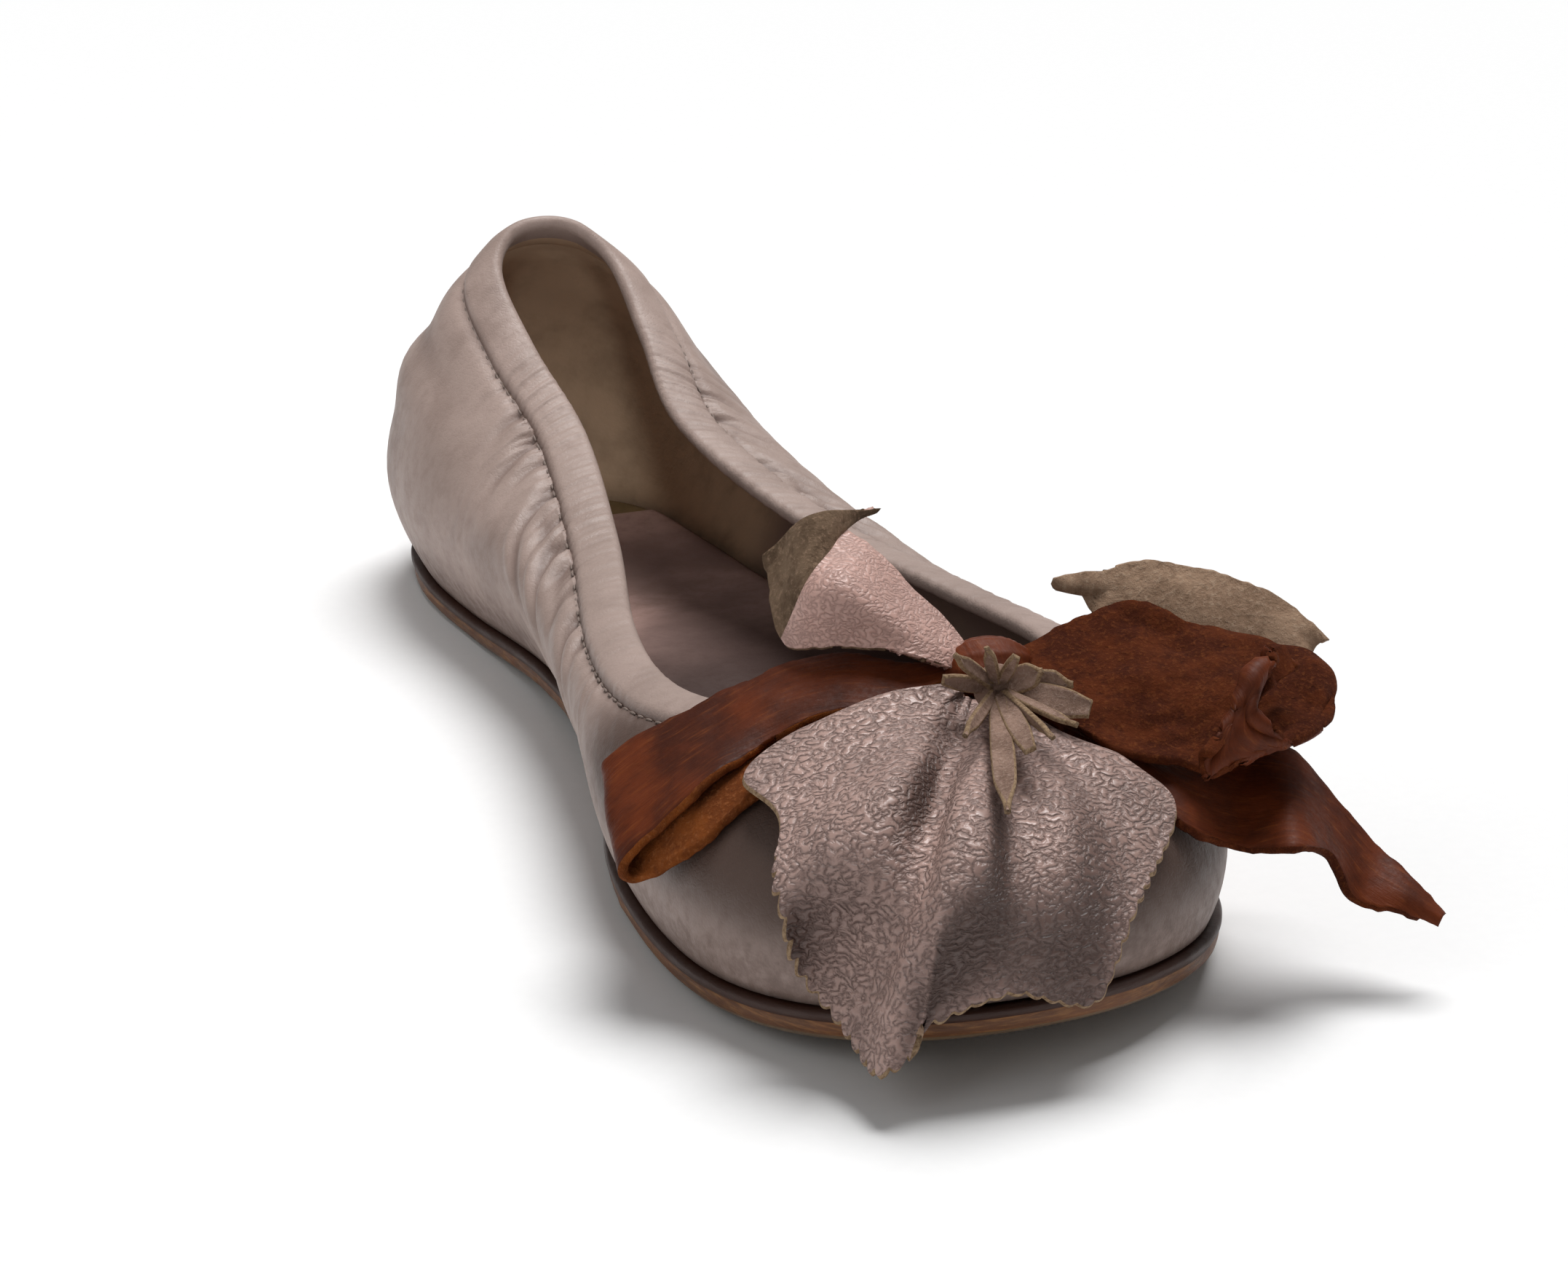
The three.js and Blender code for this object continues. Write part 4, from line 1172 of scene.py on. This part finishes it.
class FLAT_OT_upper(bpy.types.Operator):
    """Build the gathered upper with its lining, and the rolled casing round the topline"""

    bl_idname = "flat.upper"
    bl_label = "Upper and topline casing"

    def execute(self, context):
        sizes = context.scene.flat_sizes
        colours = context.scene.flat_colours
        materials = [nappa_leather(colours), lining_leather(colours)]
        self.upper(sizes, materials)
        self.casing(sizes, materials)
        return {"FINISHED"}

    def upper(self, sizes, materials):
        """The upper's wall from the feather line to just under the casing."""
        length = LAST.rib_length[:, None]
        start = LAST.casing_share[:, None]
        share = start * (1 - np.linspace(1, 0, UPPER_OUTER_ROWS) ** 1.5)
        folds = upper_relief(sizes, (start - share) * length)
        points, _, normals = LAST.wall(share)
        outer = points + normals * (folds * smoothstep(0, 5, share * length))[:, :, None]
        tuck_rise, tuck_depths = 0.9, np.array([-0.55, -0.95])
        tuck_share = np.minimum(start + tuck_rise / length, 1)
        points, _, normals = LAST.wall(np.repeat(tuck_share, len(tuck_depths), axis=1))
        tuck = points + normals * tuck_depths[None, :, None]
        inner_share = start * np.linspace(1, 0, UPPER_INNER_ROWS)
        shown_inside, highest = 0.7, 0.1
        inner_folds = shown_inside * np.minimum(upper_relief(sizes, (start - inner_share) * length), highest)
        points, _, normals = LAST.wall(inner_share)
        inner = points + normals * (inner_folds * smoothstep(0, 5, inner_share * length) - WALL)[:, :, None]
        rings = np.concatenate([outer, tuck, inner], axis=1)
        crease, grime, painted_bow_shadow = (np.zeros(rings.shape[:2]) for _ in range(3))
        # Painted shade: the outer rows darken with the depth of their fold troughs, and the tuck under the
        # casing is darkened fully.
        darkest_depth = 0.9
        crease[:, :UPPER_OUTER_ROWS] = np.clip(-folds / darkest_depth, 0, 1)
        crease[:, UPPER_OUTER_ROWS : UPPER_OUTER_ROWS + 2] = 1
        grime[:, :UPPER_OUTER_ROWS] = 1 - smoothstep(2, 16, share * length)
        # Painted shadow of the bow and flower on the vamp under them.
        under_bow = smoothstep(118, 150, -outer[:, :, 1]) * smoothstep(7, 24, outer[:, :, 2])
        painted_bow_shadow[:, :UPPER_OUTER_ROWS] = under_bow
        values = {"crease": crease, "grime": grime, "painted_bow_shadow": painted_bow_shadow}
        piece = self.hoop("upper_nappa", rings, UPPER_OUTER_ROWS + 1, materials, values)
        dress(piece, "upper")

    def casing(self, sizes, materials):
        """The turned edge: a soft roll, gathered along the sides, round the elastic."""
        run = LAST.run[:, None]
        walked = LAST.walked[:, None]
        outside, over, inside, lined = 16, 6, 12, 7
        crest = 0.9
        steps = np.concatenate(
            [np.linspace(0, crest, outside), np.full(over, crest), np.linspace(crest, 0, inside)]
        )
        turn = np.concatenate([np.zeros(outside), np.linspace(0, 1, over + 2)[1:-1], np.ones(inside)])
        arch = math.pi * turn
        start = LAST.casing_share[:, None] + GAP / LAST.rib_length[:, None]
        points, tangents, normals = LAST.wall(start + (1 - start) * steps[None, :])
        roll = CASING_ROLL * np.sin(math.pi * (0.12 + 0.8 * steps)) ** 0.7
        roll -= 0.85 * (1 - smoothstep(0, 0.16, steps))
        half = WALL / 2 + CASING_ROLL * math.sin(math.pi * 0.84)
        outward = np.where(turn == 0, roll, np.where(turn == 1, -WALL - roll, half * np.cos(arch) - WALL / 2))
        upward = np.where((turn > 0) & (turn < 1), np.sin(arch), 0)
        phase = gather_phase(run + 0.25 * CASING_HEIGHT * steps[None, :], sizes)
        strength = gathering(run) * (0.7 + 0.6 * wander(walked / 6, seed=5) * wander(walked / 17, seed=6))
        ease = 1 - 0.4 * smoothstep(0.1, 0.9, steps)[None, :]
        folds = 0.6 * fold(phase) + 0.5 * broad_folds(phase, walked)
        folds *= 0.55 * sizes.gather_depth / MM * strength * ease
        folds += 0.12 * wander(walked / 13 + steps[None, :], seed=61) * smoothstep(0, 15, run)
        outer_side = turn < 0.5
        off = outward[None, :] + folds * np.where(outer_side, 1.0, -0.6)[None, :]
        rings = points + normals * off[:, :, None] + tangents * upward[None, :, None]
        stitch_line = (1 - smoothstep(0, 0.14, steps)) * outer_side
        # crease: painted shade in the troughs of the casing's gathers, and a dark line along its stitch seam.
        values = {
            "crease": np.clip(np.clip(-folds / 0.5, 0, 1) * 0.8 + stitch_line[None, :], 0, 1),
            "grime": np.tile(0.25 * np.sin(arch), (LAST.count, 1)),
        }
        piece = self.hoop("topline_casing_nappa", rings, len(steps) - lined, materials, values)
        dress(piece, "topline_casing")

    def hoop(self, name, rings, leather_rows, materials, values):
        """A closed wall round the shoe, of leather in its first rows and of lining in the rest."""
        count = rings.shape[1]
        faces = grid_faces(LAST.count, count, wrap_rows=True, wrap_columns=True)
        sides = [0] * leather_rows + [1] * (count - leather_rows)
        forward = np.repeat(ramp(0.2, 0.27, LAST.along), count)
        return make_piece(
            name, rings.reshape(-1, 3), faces, materials, sides * LAST.count, {**values, "forward": forward}
        )


class FLAT_OT_bow(bpy.types.Operator):
    """Build the knot, the two loops and the tail of the brown bow"""

    bl_idname = "flat.bow"
    bl_label = "Bow"

    def execute(self, context):
        colours = context.scene.flat_colours
        smooth = ribbon_leather(colours)
        brown = napped_suede(
            "brown_ribbon_suede", colours.suede, linear("#34120A"), linear("#7C4524"), nap_mm=0.7, tuft_mm=1.9
        )
        # A lighter copy of the ribbon suede: painted light for the left loop's flesh side, which lies in
        # shade.
        worn = napped_suede(
            "painted_light_ribbon_suede",
            colours.ribbon_bent,
            linear("#5A2C14"),
            linear("#A8693F"),
            nap_mm=0.7,
            tuft_mm=1.9,
        )
        self.knot(smooth)
        for name, ribs, node, slot, flesh, face_up, hill_mm, height_mm in (
            # The left loop's flesh side uses the lighter suede: painted light.
            ("bow_loop_left_leather", LOOP_LEFT, "bow_loop_left", "ribbon_leather", worn, 1, 9, 0.35),
            ("bow_loop_right_suede", SUEDE_END, "bow_loop_right", "ribbon_suede", brown, 1, 10, 1.7),
            ("bow_tail_leather", TAIL_RIGHT, "bow_tail_right", "ribbon_leather", brown, -1, 11, 0.25),
        ):
            middle = crumpled(sheet_surface(ribs, RIBBON_STEPS), hill_mm, height_mm, seed=71)
            middle = ragged_edges(middle, depth_mm=0.35, seed=75)
            piece = sheet_piece(name, middle, RIBBON_THICKNESS, [smooth, flesh, flesh], face_up)
            dress(piece, node)
        return {"FINISHED"}

    def knot(self, leather):
        """The wrapped middle of the bow: a lump with pleats across it."""
        pleats, pleat_depth, pleat_slant = 5, 0.07, 1.4
        form = bmesh.new()
        bmesh.ops.create_uvsphere(form, u_segments=48, v_segments=28, radius=1.0)
        for vertex in form.verts:
            direction = np.array(vertex.co)
            turn = math.atan2(direction[1], direction[2])
            pleat = 1 - pleat_depth * abs(math.sin(pleats * turn + pleat_slant * direction[0]))
            vertex.co = Vector((KNOT + UP * KNOT_RISE + direction * KNOT_SIZE * pleat) * MM)
        mesh = mesh_of(form, "bow_knot_leather")
        places = np.array([vertex.co for vertex in mesh.vertices])
        keep_values(mesh, {"along": places[:, 1], "across": places[:, 0]})
        mesh.materials.append(leather)
        dress(link_piece("bow_knot_leather", mesh), "bow_knot")


class FLAT_OT_flower(bpy.types.Operator):
    """Build the pearly leaf, the pink bud petal, the tan petal and the stamens"""

    bl_idname = "flat.flower"
    bl_label = "Flower"

    def execute(self, context):
        sizes = context.scene.flat_sizes
        colours = context.scene.flat_colours
        edge = raw_edge_leather(colours)
        tan = napped_suede(
            "tan_petal_suede", colours.tan, linear("#7E6450"), linear("#C6AC94"), nap_mm=0.8, tuft_mm=1.8
        )
        self.leaf(sizes, colours, tan, edge)
        self.bud(colours)
        self.tan_petal(tan)
        self.stamens(colours, edge)
        return {"FINISHED"}

    def leaf(self, sizes, colours, tan, edge):
        """The large leaf: soft folds that run out from the flower's middle, round lobes and a pinked edge."""
        pearl = crinkled_leather(
            "pearl_crinkled_leather",
            colours.pearl,
            colours.pearl_shade,
            furrow_mm=sizes.furrow_size / MM,
            depth_mm=0.36,
            # Strong painted shade where the leaf faces away from its painted lit side.
            painted_shade_strength=0.95,
        )
        middle = sheet_surface(PETAL_FRONT, LEAF_STEPS)
        share = np.linspace(0, 1, len(middle))
        reach = self.rounded_lobe(share / 0.11) * self.rounded_lobe((1 - share) / 0.13)
        middle = middle[:, :1] + (middle - middle[:, :1]) * reach[:, None, None]
        out = np.linspace(0, 1, middle.shape[1])[None, :]
        folds = np.zeros(middle.shape[:2])
        for place, start, width, height in LEAF_FOLDS:
            line = place + 0.03 * np.sin(5 * out)
            ridge = np.exp(-(((share[:, None] - line) / width) ** 2))
            folds += height * ridge * smoothstep(start, start + 0.3, out)
        middle = middle - surface_normals(middle) * folds[:, :, None]
        strength = smoothstep(0.2, 0.27, share) * (1 - 0.6 * smoothstep(0.5, 0.6, share))
        strength = strength * (1 - smoothstep(0.86, 0.92, share))
        middle = pinked_edge(middle, sizes, strength)
        piece = sheet_piece("petal_front_pearl", middle, PETAL_THICKNESS, [pearl, tan, edge], face_up=-1)
        dress(piece, "petal_front")

    def rounded_lobe(self, share):
        """How far out a lobe reaches over its share of the edge: short at its corner, then full."""
        rounding = 0.3
        return 1 - rounding + rounding * np.sqrt(1 - np.clip(1 - share, 0, 1) ** 2)

    def bud(self, colours):
        """The pink trumpet petal, whose rim is folded over and shows its brown flesh side."""
        pink = crinkled_leather(
            "pink_pebbled_leather",
            colours.pink,
            colours.pink_shade,
            furrow_mm=0.8,
            depth_mm=0.14,
            painted_shade_strength=0.0,
        )
        flesh = napped_suede(
            "brown_bud_suede", linear("#7E6854"), linear("#473628"), colours.tan, nap_mm=0.8, tuft_mm=1.8
        )
        middle = sheet_surface(PETAL_BUD, BUD_STEPS)
        middle = crumpled(middle, hill_mm=7, height_mm=0.35, seed=81)
        middle = ragged_edges(middle, depth_mm=0.3, seed=83)
        turned = BUD_FOLD * BUD_STEPS[0]
        piece = sheet_piece(
            "petal_bud_pink", middle, PETAL_THICKNESS, [pink, flesh, flesh], face_up=1, turned=turned
        )
        dress(piece, "petal_bud")

    def tan_petal(self, tan):
        """The tan petal: cut low where the bow covers it, with a finger of leather at its upper corner."""
        middle = sheet_surface(PETAL_RIGHT, TAN_PETAL_STEPS)
        share = np.linspace(0, 1, len(middle))[:, None]
        out = np.linspace(1, 0, middle.shape[1])[None, :]
        reach = 1 - 0.55 * (1 - smoothstep(0.30, 0.32, share))
        middle = middle[:, -1:] + (middle - middle[:, -1:]) * reach[:, :, None]
        corner = np.exp(-(((share - 0.345) / 0.02) ** 2)) * smoothstep(0.78, 0.95, out)
        finger = np.array([-7.0, -1.0, 0.8])
        middle = middle + finger * corner[:, :, None]
        middle = crumpled(middle, hill_mm=9, height_mm=0.4, seed=91)
        middle = ragged_edges(middle, depth_mm=0.3, seed=93)
        piece = sheet_piece("petal_right_suede", middle, PETAL_THICKNESS, [tan] * 3, face_up=-1)
        dress(piece, "petal_right")

    def stamens(self, colours, edge):
        """Narrow strips that fan out of one button, each cut square or to a point and bent its own way."""
        leather = napped_suede(
            "tan_stamen_leather",
            colours.stamen,
            linear("#735A4C"),
            linear("#C9AFA0"),
            nap_mm=0.5,
            tuft_mm=1.3,
        )
        form = bmesh.new()
        bmesh.ops.create_uvsphere(form, u_segments=24, v_segments=14, radius=1.0)
        turn = Vector((0, 0, 1)).rotation_difference(Vector(FLOWER_FACE)).to_matrix().to_4x4()
        size = Matrix.Diagonal((*(BUTTON_SIZE * MM), 1))
        form.transform(Matrix.Translation(Vector((KNOT + BUTTON) * MM)) @ turn @ size)
        materials = [leather, leather, edge]
        for k, row in enumerate(STAMENS):
            pointed = k % 3 != 0
            middle = self.strip(*row, taper=0.9 if pointed else 0.2)
            strip = sheet_piece(f"stamen_{k}", middle, STRIP_THICKNESS, materials, face_up=1)
            form.from_mesh(strip.data)
            bpy.data.objects.remove(strip)
        mesh = mesh_of(form, "stamens_leather")
        for material in materials:
            mesh.materials.append(material)
        dress(link_piece("stamens_leather", mesh), "stamens")

    def strip(self, tip, lift, half_width, tilt, taper):
        """The middle surface of one strip, from the button to its tip."""
        run = np.array(tip) - BUTTON
        side = unit(np.cross(run, FLOWER_FACE))
        share = np.linspace(0.08, 1, 22)
        belly = 0.75 + 0.35 * np.sin(math.pi * share**1.2)
        half = half_width * belly * (1 - taper * smoothstep(0.75, 1, share))
        across = np.linspace(-1, 1, 9)
        sideways = side * math.cos(tilt) + FLOWER_FACE * math.sin(tilt)
        off_face = lift * share[:, None] ** 1.5 + 0.3 * across[None, :] ** 2
        return (
            KNOT
            + BUTTON
            + run * share[:, None, None]
            + sideways * (half[:, None] * across)[:, :, None]
            + FLOWER_FACE * off_face[:, :, None]
        )


class FLAT_OT_stitches(bpy.types.Operator):
    """Sew the stitch line under the topline casing and the back edge of the sock"""

    bl_idname = "flat.stitches"
    bl_label = "Stitches"

    def execute(self, context):
        sizes = context.scene.flat_sizes
        colours = context.scene.flat_colours
        tree, keys = self.stitch_tree()
        thread = sewing_thread("matt_topline_thread", colours.thread)
        self.sew("topline_stitches", self.topline_seam(), tree, keys, thread, sizes, "upper_leather")
        pale = sewing_thread("pale_sock_thread", colours.sock_thread)
        self.sew("sock_stitches", self.sock_seam(), tree, keys, pale, sizes, "sock_leather")
        return {"FINISHED"}

    def topline_seam(self):
        """The closed line of stitches between the upper and its casing, sunk into the leather."""
        above, sunk = 0.05, 0.42
        points, _, normals = LAST.wall(LAST.casing_share[:, None] + above / LAST.rib_length[:, None])
        line = (points - normals * sunk)[:, 0]
        return np.vstack([line, line[:1]])

    def sock_seam(self):
        """The line of stitches across the sock, beside its back edge."""
        from_side, from_back, sunk = 1.5, 2.2, 0.3
        height = SOLE_THICKNESS + GAP + INSOLE_THICKNESS - sunk
        edge = LAST.sole_ring(-SOLE_LEDGE - WALL - GAP - from_side, height)
        half = LAST.count // 2
        row = int(np.argmax(edge[:half, 1] < HEEL_CENTRE - HEEL_PAD_LENGTH - from_back))
        return edge[row] + (edge[LAST.count - row] - edge[row]) * np.linspace(0, 1, 40)[:, None]

    def stitch_tree(self):
        """Geometry nodes that lay one small spindle of thread after another along a line."""
        tree = bpy.data.node_groups.new("stitches_along_a_seam", "GeometryNodeTree")
        sockets = {
            "Geometry": "NodeSocketGeometry",
            "Spacing": "NodeSocketFloat",
            "Stitch length": "NodeSocketFloat",
            "Thread": "NodeSocketFloat",
            "Material": "NodeSocketMaterial",
        }
        keys = {}
        for name, kind in sockets.items():
            keys[name] = tree.interface.new_socket(name=name, in_out="INPUT", socket_type=kind).identifier
        tree.interface.new_socket(name="Geometry", in_out="OUTPUT", socket_type="NodeSocketGeometry")
        given = add_node(tree, "NodeGroupInput").outputs
        seam = add_node(tree, "GeometryNodeMeshToCurve", inputs={"Mesh": given["Geometry"]})
        spots = add_node(
            tree,
            "GeometryNodeCurveToPoints",
            {"mode": "LENGTH"},
            {"Curve": seam.outputs["Curve"], "Length": given["Spacing"]},
        )
        lie = add_node(
            tree, "FunctionNodeAlignRotationToVector", {"axis": "X"}, {"Vector": spots.outputs["Tangent"]}
        )
        spindle = add_node(
            tree, "GeometryNodeMeshUVSphere", inputs={"Segments": 8, "Rings": 6, "Radius": 0.5}
        )
        size = add_node(
            tree,
            "ShaderNodeCombineXYZ",
            inputs={"X": given["Stitch length"], "Y": given["Thread"], "Z": given["Thread"]},
        )
        sewn = add_node(
            tree,
            "GeometryNodeInstanceOnPoints",
            inputs={
                "Points": spots.outputs["Points"],
                "Instance": spindle.outputs["Mesh"],
                "Rotation": lie.outputs["Rotation"],
                "Scale": size.outputs["Vector"],
            },
        )
        plain = add_node(tree, "GeometryNodeRealizeInstances", inputs={"Geometry": sewn.outputs["Instances"]})
        dyed = add_node(
            tree,
            "GeometryNodeSetMaterial",
            inputs={"Geometry": plain.outputs["Geometry"], "Material": given["Material"]},
        )
        add_node(tree, "NodeGroupOutput", inputs={"Geometry": dyed.outputs["Geometry"]})
        return tree, keys

    def sew(self, name, line, tree, keys, thread, sizes, slot):
        """One row of stitches along a line of points in mm."""
        path = bpy.data.meshes.new(name + "_path")
        path.from_pydata((line * MM).tolist(), [(k, k + 1) for k in range(len(line) - 1)], [])
        seam = bpy.data.objects.new(name + "_path", path)
        bpy.context.scene.collection.objects.link(seam)
        modifier = seam.modifiers.new("Stitches", "NODES")
        modifier.node_group = tree
        modifier[keys["Spacing"]] = sizes.stitch_spacing
        modifier[keys["Stitch length"]] = sizes.stitch_length
        modifier[keys["Thread"]] = sizes.thread_thickness
        modifier[keys["Material"]] = thread
        depsgraph = bpy.context.evaluated_depsgraph_get()
        mesh = bpy.data.meshes.new_from_object(seam.evaluated_get(depsgraph))
        if not mesh.polygons:
            raise RuntimeError(f"{name}: no stitch was made")
        seam.modifiers.remove(modifier)
        bpy.data.objects.remove(seam)
        dress(link_piece(name, mesh), None)


class FLAT_OT_stage(bpy.types.Operator):
    """Set the floor, the soft studio light and the camera"""

    bl_idname = "flat.stage"
    bl_label = "Stage"

    def execute(self, context):
        scene = context.scene
        self.floor(scene)
        self.lights(scene)
        self.camera(scene)
        scene.view_settings.view_transform = "Standard"
        return {"FINISHED"}

    def floor(self, scene):
        """A wide sheet of paper just under the sole."""
        form = bmesh.new()
        bmesh.ops.create_grid(form, x_segments=8, y_segments=8, size=FLOOR_HALF_SIZE)
        form.transform(Matrix.Translation((0, 0, -FLOOR_DROP)))
        mesh = mesh_of(form, "studio_floor")
        mesh.materials.append(paper_floor(scene.flat_colours))
        floor = link_piece("studio_floor", mesh)

    def lights(self, scene):
        """An even white sky, and the lamps."""
        world = bpy.data.worlds.new("soft_studio")
        world.use_nodes = True
        sky = world.node_tree.nodes["Background"].inputs
        sky["Color"].default_value = (1, 1, 1, 1)
        sky["Strength"].default_value = SKY_STRENGTH
        scene.world = world
        for name, (kind, place, aim, settings) in LAMPS.items():
            lamp = bpy.data.lights.new(name, kind)
            for key, value in settings.items():
                setattr(lamp, key, value)
            self.aimed(name, lamp, place, aim)

    def camera(self, scene):
        """The camera, placed from the knot."""
        lens = bpy.data.cameras.new("camera")
        lens.sensor_width = SENSOR_WIDTH
        lens.lens = CAMERA_LENS
        lens.clip_start = CAMERA_CLIP_START
        turn = math.radians(CAMERA_TURN)
        rise = math.radians(CAMERA_RISE)
        back = Vector((math.sin(turn) * math.cos(rise), -math.cos(turn) * math.cos(rise), math.sin(rise)))
        scene.camera = self.aimed("camera", lens, Vector(KNOT * MM) + back * CAMERA_DISTANCE, CAMERA_AIM)

    def aimed(self, name, device, place, aim):
        """A lamp or a camera at a place, turned towards its aim."""
        placed = bpy.data.objects.new(name, device)
        placed.location = place
        placed.rotation_euler = (Vector(aim) - Vector(place)).to_track_quat("-Z", "Y").to_euler()
        bpy.context.scene.collection.objects.link(placed)
        return placed


class FLAT_PT_panel(bpy.types.Panel):
    """Sizes, colours and building steps of the ballet flat"""

    bl_idname = "FLAT_PT_panel"
    bl_label = "Ballet Flat"
    bl_space_type = "VIEW_3D"
    bl_region_type = "UI"
    bl_category = "Ballet Flat"

    def draw(self, context):
        for group in (context.scene.flat_sizes, context.scene.flat_colours):
            box = self.layout.box()
            for key in group.__annotations__:
                box.prop(group, key)
        for operator in OPERATORS:
            self.layout.operator(operator.bl_idname)


OPERATORS = (
    FLAT_OT_outsole,
    FLAT_OT_footbed,
    FLAT_OT_upper,
    FLAT_OT_bow,
    FLAT_OT_flower,
    FLAT_OT_stitches,
    FLAT_OT_stage,
)
CLASSES = (FlatSizes, FlatColours, *OPERATORS, FLAT_PT_panel)


def register():
    for item in CLASSES:
        bpy.utils.register_class(item)
    bpy.types.Scene.flat_sizes = bpy.props.PointerProperty(type=FlatSizes)
    bpy.types.Scene.flat_colours = bpy.props.PointerProperty(type=FlatColours)


def unregister():
    del bpy.types.Scene.flat_colours
    del bpy.types.Scene.flat_sizes
    for item in reversed(CLASSES):
        bpy.utils.unregister_class(item)


def main():
    register()
    bpy.ops.flat.outsole()
    bpy.ops.flat.footbed()
    bpy.ops.flat.upper()
    bpy.ops.flat.bow()
    bpy.ops.flat.flower()
    bpy.ops.flat.stitches()
    bpy.ops.flat.stage()


if __name__ == "__main__":
    main()
